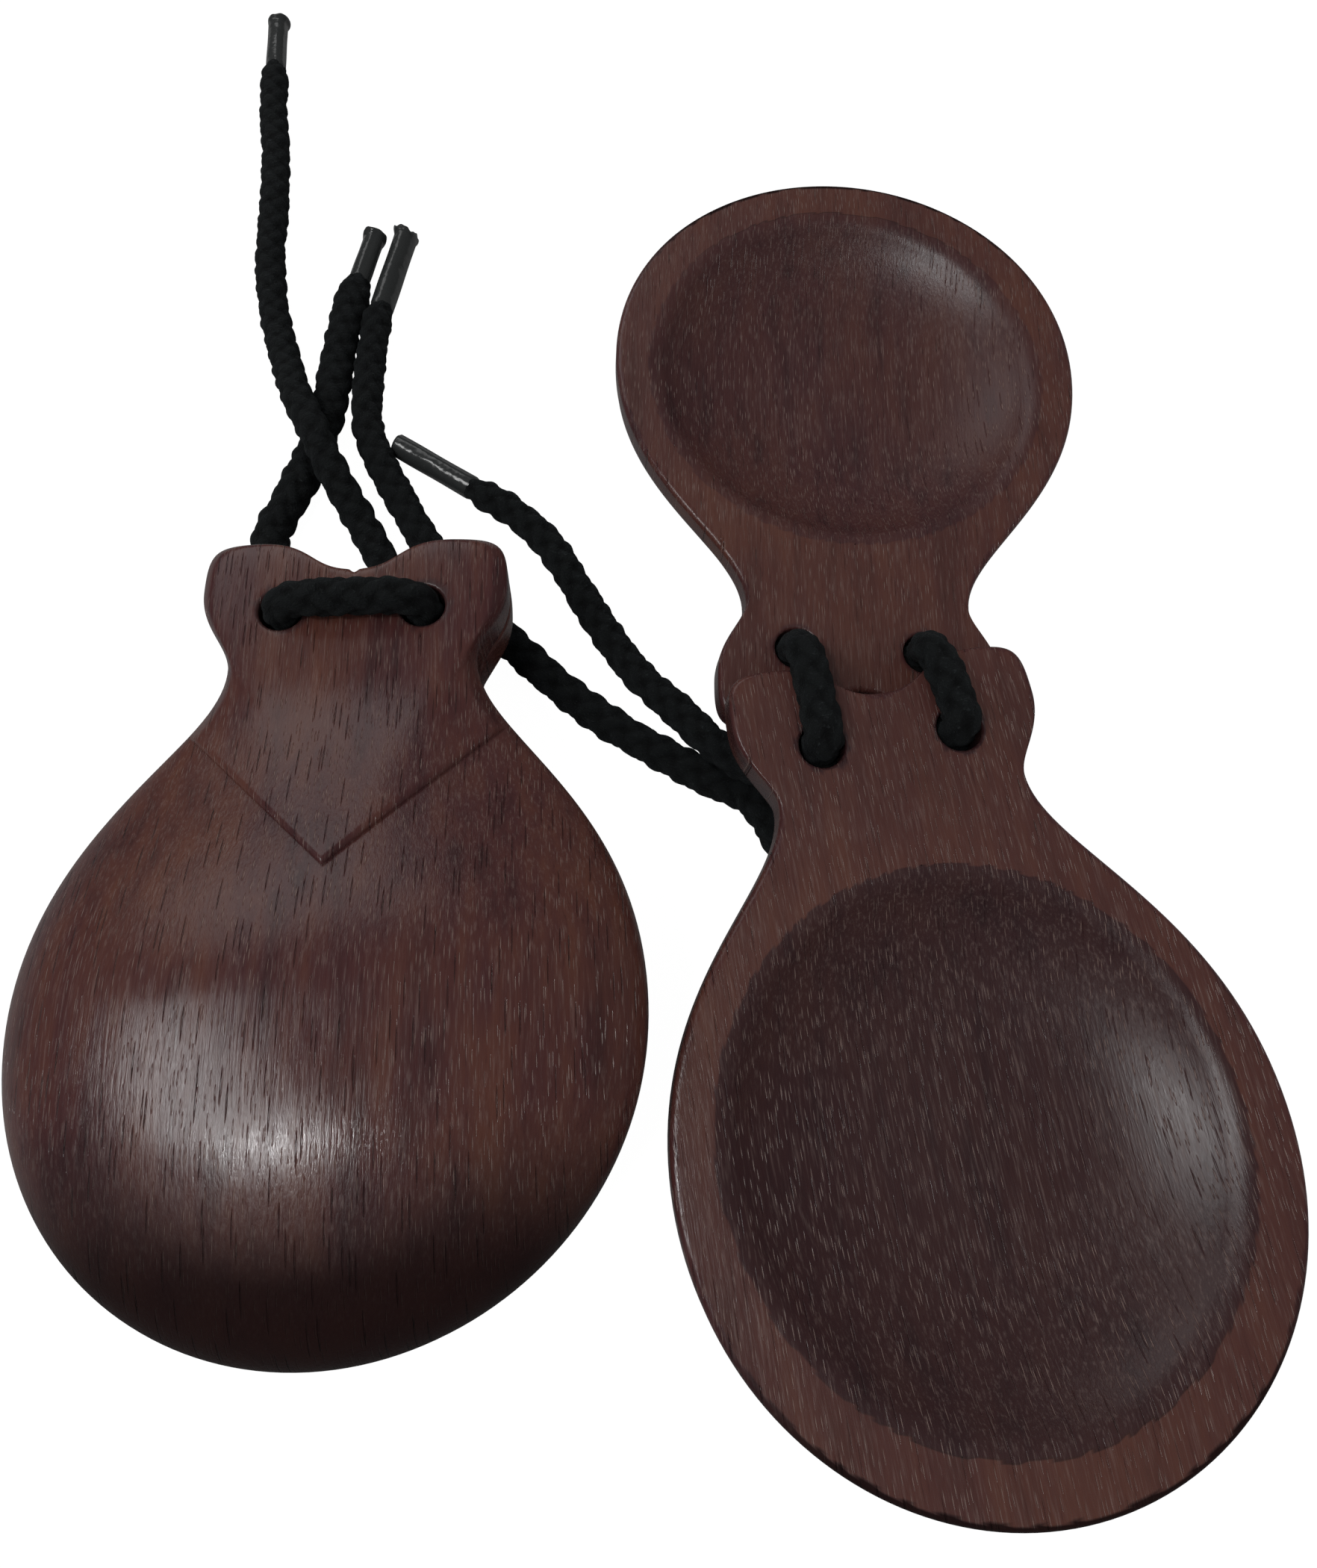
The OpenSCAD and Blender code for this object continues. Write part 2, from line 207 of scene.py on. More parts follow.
class Nodes:
    """Short way to write a node material.

    Attributes:
        material: the material being made.
        tree: its node tree.
        shader: its Principled node.
    """

    def __init__(self, name: str) -> None:
        """Makes an empty material with one Principled shader.

        Args:
            name: the material's name.
        """
        self.material = bpy.data.materials.new(name)
        self.material.use_nodes = True
        self.tree = self.material.node_tree
        self.shader = self.tree.nodes["Principled BSDF"]

    def add(self, kind: str, **settings: object) -> bpy.types.Node:
        """Adds a node of that kind and sets its properties."""
        node = self.tree.nodes.new(kind)
        for key, value in settings.items():
            setattr(node, key, value)
        return node

    def feed(self, socket: bpy.types.NodeSocket, value: object) -> None:
        """Links an output, or writes a constant, into an input socket."""
        if isinstance(value, bpy.types.NodeSocket):
            self.tree.links.new(value, socket)
        else:
            socket.default_value = value

    def attribute(self, name: str, output: str) -> bpy.types.NodeSocket:
        """Reads a mesh attribute. output is "Vector" or "Fac"."""
        return self.add("ShaderNodeAttribute", attribute_name=name).outputs[output]

    def scaled(
        self, vector: object, scale: tuple[float, float, float], shift: tuple[float, float, float]
    ) -> bpy.types.NodeSocket:
        """Scales and then shifts a vector, for a pattern's place and size."""
        node = self.add("ShaderNodeMapping")
        self.feed(node.inputs["Vector"], vector)
        self.feed(node.inputs["Scale"], scale)
        self.feed(node.inputs["Location"], shift)
        return node.outputs["Vector"]

    def noise(
        self, vector: object, scale: float, detail: float = 3.0, roughness: float = 0.5
    ) -> bpy.types.NodeSocket:
        """Noise value from 0 to 1."""
        node = self.add("ShaderNodeTexNoise")
        self.feed(node.inputs["Vector"], vector)
        self.feed(node.inputs["Scale"], scale)
        self.feed(node.inputs["Detail"], detail)
        self.feed(node.inputs["Roughness"], roughness)
        return node.outputs["Fac"]

    def cells(self, vector: object, scale: float, output: str) -> bpy.types.NodeSocket:
        """Distance or colour of random cells, read in X and Y."""
        node = self.add("ShaderNodeTexVoronoi", voronoi_dimensions="2D")
        self.feed(node.inputs["Vector"], vector)
        self.feed(node.inputs["Scale"], scale)
        return node.outputs[output]

    def math(self, operation: str, a: object, b: object = 0.0) -> bpy.types.NodeSocket:
        """One calculation on two values."""
        node = self.add("ShaderNodeMath", operation=operation)
        self.feed(node.inputs[0], a)
        self.feed(node.inputs[1], b)
        return node.outputs[0]

    def ramp(
        self, value: object, low: float, high: float, start: float = 0.0, end: float = 1.0
    ) -> bpy.types.NodeSocket:
        """Smooth rise from start, at or below low, to end, at or above high."""
        node = self.add("ShaderNodeMapRange", interpolation_type="SMOOTHSTEP")
        for socket, v in zip(node.inputs, (value, low, high, start, end)):
            self.feed(socket, v)
        return node.outputs["Result"]

    def blend(self, share: object, a: object, b: object) -> bpy.types.NodeSocket:
        """Colour a at share 0, colour b at share 1."""
        node = self.add("ShaderNodeMix", data_type="RGBA")
        self.feed(node.inputs[0], share)
        self.feed(node.inputs[6], a)
        self.feed(node.inputs[7], b)
        return node.outputs[2]

    def bump(self, height: object, distance: float, strength: float, below: object = None) -> object:
        """Bump from a height, on top of another bump where one is given."""
        node = self.add("ShaderNodeBump")
        self.feed(node.inputs["Height"], height)
        self.feed(node.inputs["Distance"], distance)
        self.feed(node.inputs["Strength"], strength)
        if below is not None:
            self.feed(node.inputs["Normal"], below)
        return node.outputs["Normal"]

    def finish(self, color: object, roughness: object, normal: object = None) -> bpy.types.Material:
        """Connects the shader and returns the material."""
        self.feed(self.shader.inputs["Base Color"], color)
        self.feed(self.shader.inputs["Roughness"], roughness)
        if normal is not None:
            self.feed(self.shader.inputs["Normal"], normal)
        return self.material


Colour = tuple[float, float, float, float]


@dataclass(frozen=True)
class Marks:
    """Short thin marks along the grain, one in most of a set of long random cells.

    Attributes:
        scale: cells in a metre across the grain.
        stretch: cells along the grain, as a share of those across.
        wide, soft: distance from a cell's middle at which a mark fades, and how softly.
        chance: random values between which a cell's mark fades in.
    """

    scale: float
    stretch: float
    wide: float
    soft: float
    chance: tuple[float, float] = (0.15, 0.4)

    def draw(self, n: Nodes, place: object, figure: tuple[float, float, float]) -> bpy.types.NodeSocket:
        """Adds the nodes that draw the marks.

        Args:
            n: the material being written.
            place: the shell's own place.
            figure: shift of the pattern.

        Returns:
            1 on a mark, 0 between marks.
        """
        cells = n.scaled(place, (1.0, self.stretch, 1.0), figure)
        away = n.cells(cells, self.scale, "Distance")
        split = n.add("ShaderNodeSeparateColor")
        n.feed(split.inputs[0], n.cells(cells, self.scale, "Color"))
        mark = n.ramp(away, self.wide + self.soft, self.wide - self.soft)
        return n.math("MULTIPLY", mark, n.ramp(split.outputs[0], *self.chance))


@dataclass(frozen=True)
class OiledWood:
    """Dark stained hardwood with open pores, rubbed with oil.

    Attributes:
        name: the material's name.
        shade: the common purple-brown.
        warm: the reddish brown of lighter bands.
        deep: the darkest bands, and the painted shade of the bowl and the holes.
        pore: the dust-filled pores.
        foot: painted shade low on the dome, towards the foot.
        figure: place of this shell in the pattern, so that no two shells are alike.
        pores, grooves: the pale pores and the dark open grooves.
        pore_amount, groove_amount: how strongly they show, from 0 to 1.
        hollow_shade: painted shade, how far the bowl and the holes are darker than the face, from 0 to 1.
        foot_y, foot_z: places between which the painted shade fades in, in metres.
        foot_amount: how strongly it shows, from 0 to 1.
        specular: specular level of the oiled surface.
    """

    name: str
    shade: Colour = (0.047, 0.0158, 0.0162, 1)
    warm: Colour = (0.078, 0.0280, 0.0185, 1)
    deep: Colour = (0.018, 0.0072, 0.0085, 1)
    pore: Colour = (0.19, 0.130, 0.112, 1)
    foot: Colour = (0.008, 0.0028, 0.0028, 1)
    figure: tuple[float, float, float] = (0.0, 0.0, 0.0)
    pores: Marks = Marks(2600.0, 0.09, 0.13, 0.06)
    grooves: Marks = Marks(1450.0, 0.05, 0.095, 0.045)
    pore_amount: float = 0.6
    groove_amount: float = 0.35
    hollow_shade: float = 0.45
    foot_y: tuple[float, float] = (-0.009, -0.026)
    foot_z: tuple[float, float] = (-0.0150, -0.0115)
    foot_amount: float = 0.93
    specular: float = 0.5

    def material(self) -> bpy.types.Material:
        """Builds the material. It reads the shell's own place: X across, Y along the grain."""
        n = Nodes(self.name)
        place = n.attribute("shell_place", "Vector")
        face, hollow = n.attribute("joint_face", "Fac"), n.attribute("hollow", "Fac")
        inner = n.math("MAXIMUM", face, hollow)
        broad = self.grain(n, place, 0.7, 48.0, 3.0, 0.55)
        fibre = self.grain(n, place, 0.06, 3400.0, 3.0, 0.65)
        color = self.stained(n, place, broad, face, hollow)
        color = n.blend(n.ramp(fibre, 0.42, 0.24, 0.0, 0.5), color, self.deep)
        color = n.blend(n.ramp(fibre, 0.50, 0.74, 0.0, 0.22), color, self.pore)
        fade = n.ramp(self.grain(n, place, 0.6, 110.0, 2.0, 0.5), 0.3, 0.62, 0.3, 1.0)
        pore = self.pores.draw(n, place, self.figure)
        pale = n.math("MULTIPLY", n.math("MULTIPLY", pore, fade), self.pore_amount)
        color = n.blend(pale, color, self.pore)
        groove = self.grooves.draw(n, place, self.figure)
        groove = n.math("MULTIPLY", groove, n.ramp(inner, 0.0, 1.0, 1.0, 0.35))
        color = n.blend(n.math("MULTIPLY", groove, self.groove_amount), color, self.deep)
        # Painted shade low on the dome's flank near the foot: darker colour here, and further down more
        # roughness and less specular.
        low = n.math("MULTIPLY", self.painted_shade_low_on_dome(n, place), n.math("SUBTRACT", 1.0, inner))
        color = n.blend(n.math("MULTIPLY", low, self.foot_amount), color, self.foot)
        normal = n.bump(broad, 0.0010, 0.22)
        normal = n.bump(fibre, 0.00008, 0.55, normal)
        normal = n.bump(groove, -0.00022, 0.9, normal)
        normal = n.bump(pore, -0.00012, 0.7, normal)
        rough = n.ramp(fibre, 0.3, 0.75, 0.18, 0.31)
        for where, more in ((hollow, 0.12), (face, 0.10), (low, 0.3)):
            rough = n.math("ADD", rough, n.math("MULTIPLY", where, more))
        specular = n.math("SUBTRACT", self.specular, n.math("MULTIPLY", low, 0.42))
        n.feed(n.shader.inputs["Specular IOR Level"], specular)
        n.shader.inputs["IOR"].default_value = 1.48
        return n.finish(color, rough, normal)

    def grain(
        self, n: Nodes, place: object, stretch: float, scale: float, detail: float, roughness: float
    ) -> bpy.types.NodeSocket:
        """Noise drawn out along the grain.

        Args:
            n: the material being written.
            place: the shell's own place.
            stretch: scale along the grain, as a share of that across.
            scale: scale across the grain.
            detail: octaves of the noise.
            roughness: how strongly each octave adds.

        Returns:
            The noise, from 0 to 1.
        """
        return n.noise(n.scaled(place, (1.0, stretch, 1.0), self.figure), scale, detail, roughness)

    def stained(
        self, n: Nodes, place: object, broad: object, face: object, hollow: object
    ) -> bpy.types.NodeSocket:
        """Ground colour, from broad patches, bands along the grain and the shell's own regions, with painted
        shade in the bowl and the holes.

        Args:
            n: the material being written.
            place: the shell's own place.
            broad: the noise of the broad patches.
            face: 1 on the joint face.
            hollow: 1 in the bowl and the holes.

        Returns:
            The colour.
        """
        bands = self.grain(n, place, 0.13, 330.0, 4.0, 0.62)
        warmth = n.math("ADD", n.ramp(broad, 0.40, 0.66, 0.0, 0.50), n.ramp(bands, 0.44, 0.72, 0.0, 0.50))
        # Less warmth in the bowl and the holes, part of their painted shade.
        warmth = n.math("MULTIPLY", warmth, n.ramp(hollow, 0.0, 1.0, 1.0, 0.5))
        color = n.blend(warmth, self.shade, self.warm)
        color = n.blend(n.ramp(bands, 0.5, 0.25, 0.0, 0.6), color, self.deep)
        color = n.blend(n.ramp(broad, 0.44, 0.26, 0.0, 0.35), color, self.deep)
        # Painted shade: the bowl and the holes darkened towards the darkest colour.
        color = n.blend(n.ramp(hollow, 0.0, 1.0, 0.0, self.hollow_shade), color, self.deep)
        return n.blend(n.ramp(face, 0.0, 1.0, 0.0, 0.35), color, self.warm)

    def painted_shade_low_on_dome(self, n: Nodes, place: object) -> bpy.types.NodeSocket:
        """Mask of the painted shade: 1 near the foot and low on the dome's flank, 0 elsewhere."""
        axes = n.add("ShaderNodeSeparateXYZ")
        n.feed(axes.inputs[0], place)
        towards_foot = n.ramp(axes.outputs[1], *self.foot_y)
        return n.math("MULTIPLY", towards_foot, n.ramp(axes.outputs[2], *self.foot_z))


@dataclass(frozen=True)
class BraidedYarn:
    """Matt black braided cord.

    Attributes:
        name: the material's name.
        valley, crest: colour between the strands and on them. The dark valley is painted shade.
        fuzz: colour of the loose fibres.
    """

    name: str = "black_braid"
    valley: Colour = (0.0012, 0.0014, 0.0016, 1)
    crest: Colour = (0.0042, 0.0052, 0.0056, 1)
    fuzz: Colour = (0.026, 0.031, 0.032, 1)

    def material(self) -> bpy.types.Material:
        """Builds the material from the braid's relief and a fine thread pattern."""
        n = Nodes(self.name)
        relief = n.attribute("braid_relief", "Fac")
        around = n.attribute("braid_place", "Vector")
        threads = n.noise(n.scaled(around, (5.0, 2.2, 1.0), (0, 0, 0)), 5.0, 3.0, 0.65)
        cloud = n.noise(n.add("ShaderNodeTexCoord").outputs["Object"], 260.0, 3.0, 0.6)
        # Painted shade: darker in the valleys between the strands than on the crests.
        color = n.blend(n.ramp(relief, 0.15, 0.95), self.valley, self.crest)
        color = n.blend(n.ramp(threads, 0.56, 0.80, 0.0, 0.55), color, self.fuzz)
        color = n.blend(n.ramp(cloud, 0.45, 0.7, 0.0, 0.35), color, self.crest)
        normal = n.bump(threads, 0.0005, 0.9)
        n.shader.inputs["Sheen Weight"].default_value = 0.03
        n.shader.inputs["Sheen Roughness"].default_value = 0.45
        n.shader.inputs["Sheen Tint"].default_value = (0.6, 0.7, 0.75, 1)
        n.shader.inputs["Specular IOR Level"].default_value = 0.15
        return n.finish(color, n.ramp(threads, 0.3, 0.8, 0.8, 0.95), normal)


@dataclass(frozen=True)
class TipPlastic:
    """Shiny dark plastic of the cord tips, scuffed by use.

    Attributes:
        name: the material's name.
        color: the plastic.
        scuff: its scuffs.
    """

    name: str = "tip_plastic"
    color: Colour = (0.020, 0.0215, 0.0215, 1)
    scuff: Colour = (0.075, 0.080, 0.080, 1)

    def material(self) -> bpy.types.Material:
        """Builds the material, with faint scuffs and a slightly wavy gloss."""
        n = Nodes(self.name)
        place = n.add("ShaderNodeTexCoord").outputs["Object"]
        wave = n.noise(place, 420.0, 2.0, 0.5)
        scuffs = n.noise(place, 1500.0, 4.0, 0.7)
        color = n.blend(n.ramp(scuffs, 0.64, 0.8, 0.0, 0.25), self.color, self.scuff)
        n.shader.inputs["Specular IOR Level"].default_value = 0.6
        return n.finish(color, n.ramp(scuffs, 0.45, 0.8, 0.16, 0.34), n.bump(wave, 0.0007, 0.3))


# ---------------------------------------------------------------------------------------------
# The shell


@dataclass
class ShellForm:
    """One wooden shell: joint face at z = 0, dome below, body centre at the origin, ears towards +Y.

    Attributes:
        body_w, body_drop: width of the round body, and body centre to its foot.
        neck_w, neck_y, ear_w, ear_y, ear_top_w, ear_top_y, notch_y: the rest of the outline.
        shell_t, ear_t, wall_h: thickness at the dome and ears, and height of the upright wall.
        dome_power, ear_power: how full the dome's ribs are on the body and on the flat ears.
        dome_end_y: body centre to where the dome has come down to the ears.
        edge_round: radius of the rounded edge round the joint face.
        plate_step, plate_tip_y: height of the neck plate's edge, and body centre to its point.
        plate_knot: station of the outline where the plate's edge ends.
        rim_w, bowl_depth, bowl_shift, bowl_lip: the hollow. Its middle lies towards the ears.
        bowl_power: how full the hollow is.
        bowl_edge, bowl_edge_in: how far its rounded edge reaches outwards and inwards.
        hole_pitch, hole_y, hole_d, hole_edge, hole_sides: the two cord holes and their flare.
        spine_low: lower end of the middle line that the ribs run to.
        face_turn: station from which the face's ribs run to the middle line.
        nick: depth of the small nick in the notch.
        stations: where the half outline is sampled.
    """

    body_w: float = 68.0
    body_drop: float = 33.2
    neck_w: float = 30.4
    neck_y: float = 40.2
    ear_w: float = 38.0
    ear_y: float = 50.4
    ear_top_w: float = 25.6
    ear_top_y: float = 57.0
    notch_y: float = 52.5
    shell_t: float = 15.0
    ear_t: float = 7.0
    wall_h: float = 3.2
    dome_power: float = 2.1
    ear_power: float = 7.0
    dome_end_y: float = 38.0
    edge_round: float = 0.8
    plate_step: float = 0.8
    plate_tip_y: float = 13.3
    plate_knot: float = 1.7
    rim_w: float = 6.6
    bowl_depth: float = 6.5
    bowl_shift: float = 1.8
    bowl_lip: float = 0.2
    bowl_power: float = 0.9
    bowl_edge: float = 1.7
    bowl_edge_in: float = 0.9
    hole_pitch: float = 17.2
    hole_y: float = 46.7
    hole_d: float = 5.6
    hole_edge: float = 0.45
    hole_sides: int = 24
    spine_low: float = -5.0
    face_turn: float = 2.35
    nick: float = 0.0
    stations: np.ndarray = field(init=False)

    def __post_init__(self) -> None:
        """Sets where the half outline is sampled: closely at the neck plate's edge and the notch."""
        edge = self.plate_knot + np.array(
            [-0.012, -0.005, -0.0005, 0.0, 0.0015, 0.004, 0.008, 0.012, 0.017, 0.024, 0.032, 0.042, 0.054]
        )
        self.stations = np.concatenate(
            [
                np.linspace(0.0, self.plate_knot - 0.03, 74),
                edge,
                np.linspace(self.plate_knot + 0.07, 4.96, 112),
                [4.973, 4.985, 5.0],
            ]
        )

    @property
    def spine_high(self) -> float:
        """Upper end of the middle line."""
        return self.notch_y - 3.5

    @property
    def bowl_r(self) -> float:
        """Radius of the hollow."""
        return self.body_w / 2 - self.rim_w

    def outline(self, k: np.ndarray) -> np.ndarray:
        """Right half of the outline: five Bezier cubics between knots, at station k from 0 to 5.

        Args:
            k: stations (n,), 0 at the foot and 5 at the notch.

        Returns:
            Points (n, 2).
        """
        knots = np.array(
            [
                [0, -self.body_drop],
                [self.body_w / 2, 0],
                [self.neck_w / 2, self.neck_y],
                [self.ear_w / 2, self.ear_y],
                [self.ear_top_w / 2, self.ear_top_y],
                [0, self.notch_y],
            ]
        )
        rise, top = self.ear_y - self.neck_y, self.ear_top_y - self.ear_y
        leave = np.array(
            [
                [0.53 * self.body_w / 2, 0],
                [0, 0.55 * self.neck_y],
                [0, 0.26 * rise],
                [0, 0.85 * top],
                [-0.55 * self.ear_top_w / 2, 0],
            ]
        )
        arrive = np.array(
            [
                [0, -0.59 * self.body_drop],
                [0, -0.23 * self.neck_y],
                [0, -0.48 * rise],
                [0.9 * (self.ear_w - self.ear_top_w) / 2, 0],
                [0.48 * self.ear_top_w / 2, 0],
            ]
        )
        i = np.minimum(k.astype(int), 4)
        t = (k - i)[:, None]
        a, d = knots[i], knots[i + 1]
        b, c = a + leave[i], d + arrive[i]
        p = (1 - t) ** 3 * a + 3 * (1 - t) ** 2 * t * b + 3 * (1 - t) * t**2 * c + t**3 * d
        p[:, 1] -= self.nick * smooth(1 - np.abs(p[:, 0]) / 0.9) * (k > 4.5)
        return p

    def spine(self, k: np.ndarray) -> np.ndarray:
        """Point of the middle line that the rib from station k runs to."""
        w = (k - self.plate_knot) / (5 - self.plate_knot)
        low = mix(self.spine_low, self.plate_tip_y, (k / self.plate_knot) ** 2)
        high = mix(self.plate_tip_y, self.spine_high, 1 - (1 - w) ** 2)
        return np.where(k <= self.plate_knot, low, high)

    def ring(self) -> tuple[np.ndarray, np.ndarray, np.ndarray]:
        """Stations, sides (1 right, -1 left) and outline points all the way round."""
        k = np.concatenate([self.stations, self.stations[-2:0:-1]])
        side = np.ones(len(k))
        side[len(self.stations) :] = -1
        e = self.outline(k)
        e[:, 0] *= side
        return k, side, e

    def outer_skin(self) -> np.ndarray:
        """Rounded edge, upright wall and dome, as rings from the joint face to the crest.

        Returns:
            Points (rows, n, 3).
        """
        k, _, e = self.ring()
        middle = np.stack([np.zeros(len(k)), self.spine(k)], 1)
        return np.concatenate([self.edge_and_wall(e, unit(middle - e)), self.dome(k, e, middle[:, 1])])

    def edge_and_wall(self, e: np.ndarray, inward: np.ndarray) -> np.ndarray:
        """Quarter circle from the joint face to the outline, and the upright wall below it.

        Args:
            e: the outline (n, 2).
            inward: the direction (n, 2) from each of its points to the middle line.

        Returns:
            Points (rows, n, 3).
        """
        beta = np.radians(np.linspace(90, 0, 7))
        inset = np.concatenate([self.edge_round * (1 - np.cos(beta)), np.zeros(3)])
        wall = np.linspace(self.edge_round, self.wall_h, 5)[1:-1]
        depth = np.concatenate([self.edge_round * (1 - np.sin(beta)), wall])
        flat = e[None] + inward[None] * inset[:, None, None]
        return np.concatenate([flat, np.broadcast_to(-depth[:, None, None], (*flat.shape[:2], 1))], 2)

    def dome(self, k: np.ndarray, e: np.ndarray, middle_y: np.ndarray) -> np.ndarray:
        """Dome with the neck plate, as rings from the wall to the middle line.

        Each rib is a superellipse: with out^p + up^p = 1, a point is out of the way from the
        middle line to the outline, and up of the way from the wall's top to the middle's
        thickness. The power p grows from the body to the flat ears. The neck plate adds its
        step, rounded at the top.

        Args:
            k: stations (n,).
            e: the outline (n, 2).
            middle_y: where each rib meets the middle line (n,).

        Returns:
            Points (rows, n, 3).
        """
        phi = np.radians(90 * np.linspace(0, 1, 66) ** 0.62)[:, None]
        p = mix(self.dome_power, self.ear_power, smooth((k - self.plate_knot) / 0.7))[None]
        size = (np.cos(phi) ** p + np.sin(phi) ** p) ** (-1 / p)
        out, up = size * np.cos(phi), size * np.sin(phi)
        out[-1] = 0.0
        x, y = e[None, :, 0] * out, mix(middle_y[None], e[None, :, 1], out)
        thick = mix(self.shell_t, self.ear_t - self.plate_step, smooth(y / self.dome_end_y))
        t = np.clip((k[None] - self.plate_knot) / mix(0.050, 0.020, out), 0, 1)
        step = self.plate_step * np.sqrt(1 - (1 - t) ** 2) * smooth(11 * (1 - out))
        return np.stack([x, y, -mix(self.wall_h, thick, up) - step], 2)

    def face_line(self, k: np.ndarray) -> np.ndarray:
        """Inner end of the joint face's ribs: round the hollow's edge, then up the middle line.

        Args:
            k: stations (n,).

        Returns:
            Points (n, 2) on the right half.
        """
        r = self.bowl_r + self.bowl_edge
        e = self.outline(np.minimum(k, self.plate_knot))
        start = np.arctan2(e[:, 1] - self.bowl_shift, e[:, 0])
        turn = np.clip((k - self.plate_knot) / (self.face_turn - self.plate_knot), 0, 1)
        angle = mix(start, math.pi / 2, turn)
        up = np.clip((k - self.face_turn) / (5 - self.face_turn), 0, 1)
        climb = k > self.face_turn
        x = np.where(climb | (turn >= 1), 0.0, r * np.cos(angle))
        round_y, middle_y = r * np.sin(angle), mix(r, self.spine_high - self.bowl_shift, up)
        y = self.bowl_shift + np.where(climb, middle_y, round_y)
        return np.stack([x, y], 1)

    def joint_face(self, start: np.ndarray) -> np.ndarray:
        """Flat face as straight ribs from the edge ring to the hollow's edge and the middle line.

        Args:
            start: ring (n, 3) where the rounded edge ends.

        Returns:
            Points (rows, n, 3) at z = 0.
        """
        k, side, _ = self.ring()
        end = self.face_line(k)
        end[:, 0] *= side
        length = np.linalg.norm(start[:, :2] - end, axis=1)[None, :]
        even = np.linspace(0, 1, 54)[:, None]
        share = 0.3 / length + even * (1 - 0.6 / length)
        share = np.concatenate([np.zeros((1, len(k))), share, np.ones((1, len(k)))])[:, :, None]
        flat = mix(start[None, :, :2], end[None], share)
        return np.concatenate([flat, np.zeros((*flat.shape[:2], 1))], axis=2)

    def hollow(self) -> np.ndarray:
        """Bowl, as rings from its rounded edge to the centre.

        The edge is a parabola that ends as steep as the bowl begins. Inside it the depth is
        lip + (depth - lip)(1 - x^3)^power, where x is 0 in the flat middle and 1 at the edge.

        Returns:
            Points (rows, n, 3).
        """
        k = self.stations[self.stations < self.face_turn]
        crown = [[0.0, self.bowl_shift + self.bowl_r + self.bowl_edge]]
        half = np.vstack([self.face_line(k), crown])
        angle = np.arctan2(half[:, 1] - self.bowl_shift, half[:, 0])
        angle = np.concatenate([angle, math.pi - angle[-2:0:-1]])
        flat = math.sin(math.radians(7.5))

        def depth(r: np.ndarray) -> np.ndarray:
            """Depth of the bowl at distances r from its middle."""
            x = np.clip((r / self.bowl_r - flat) / (1 - flat), 0, 1)
            return self.bowl_lip + (self.bowl_depth - self.bowl_lip) * (1 - x**3) ** self.bowl_power

        inner = self.bowl_r - self.bowl_edge_in
        drop = float(depth(np.array(inner)))
        t = np.linspace(0, 1, 10)[:-1]
        edge_r = inner + (self.bowl_r + self.bowl_edge - inner) * (1 - t)
        edge_z = -drop * t**2
        r = inner * np.sin(np.linspace(math.pi / 2, 0, 46))
        radius = np.concatenate([edge_r, r])[:, None]
        z = np.concatenate([edge_z, -depth(r)])[:, None]
        across, up = radius * np.cos(angle), self.bowl_shift + radius * np.sin(angle)
        return np.stack([across, up, np.broadcast_to(z, (len(z), len(angle)))], 2)

    def open_hole(
        self, points: np.ndarray, triangles: np.ndarray, side: int
    ) -> tuple[np.ndarray, np.ndarray, np.ndarray]:
        """Opens a round hole in a surface and draws its edge onto a true circle.

        Triangles with a corner inside the circle go. What is left of their corners moves out or
        in to the nearest of the hole's even angles, and corners that share one become one.

        Args:
            points: vertices (n, 3).
            triangles: index triples (m, 3).
            side: -1 for the left hole, 1 for the right.

        Returns:
            Points, the triangles left, and the corner at each angle, in order.
        """
        centre = np.array([side * self.hole_pitch / 2, self.hole_y])
        radius = self.hole_d / 2 + self.hole_edge
        away = points[:, :2] - centre
        inside = np.hypot(away[:, 0], away[:, 1]) < radius
        hit = inside[triangles].any(axis=1)
        corners = np.intersect1d(triangles[hit], triangles[~hit])
        turn = 2 * math.pi / self.hole_sides
        slot = np.round(np.arctan2(away[corners, 1], away[corners, 0]) / turn).astype(int)
        slots, first = np.unique(slot % self.hole_sides, return_index=True)
        if len(slots) != self.hole_sides:
            raise ValueError("the surface is too coarse for this hole")
        ring = corners[first]
        to = np.arange(len(points))
        to[corners] = ring[slot % self.hole_sides]
        left = to[triangles[~hit]]
        whole = (left[:, 0] != left[:, 1]) & (left[:, 1] != left[:, 2]) & (left[:, 2] != left[:, 0])
        angle = turn * np.arange(self.hole_sides)
        points[ring, 0] = centre[0] + radius * np.cos(angle)
        points[ring, 1] = centre[1] + radius * np.sin(angle)
        return points, left[whole], ring

    def hole_wall(self, outer: np.ndarray, face: np.ndarray) -> np.ndarray:
        """Wall of a hole, flared by a quarter circle at both ends.

        Args:
            outer: ring (n, 3) on the dome side.
            face: ring (n, 3) on the joint face.

        Returns:
            Points (rows, n, 3).
        """
        beta = np.radians(np.linspace(0, 90, 6))[:, None]
        centre = face[:, :2].mean(axis=0)
        spoke = (face[:, :2] - centre) / (self.hole_d / 2 + self.hole_edge)
        r = self.hole_d / 2 + self.hole_edge * (1 - np.sin(beta))
        drop = self.hole_edge * (1 - np.cos(beta))
        low = np.concatenate([r[:, :, None] * spoke[None], outer[None, :, 2:] + drop[:, :, None]], 2)
        high = np.concatenate([r[:, :, None] * spoke[None], face[None, :, 2:] - drop[:, :, None]], 2)[::-1]
        wall = np.concatenate([low, high])
        wall[:, :, :2] += centre
        return wall

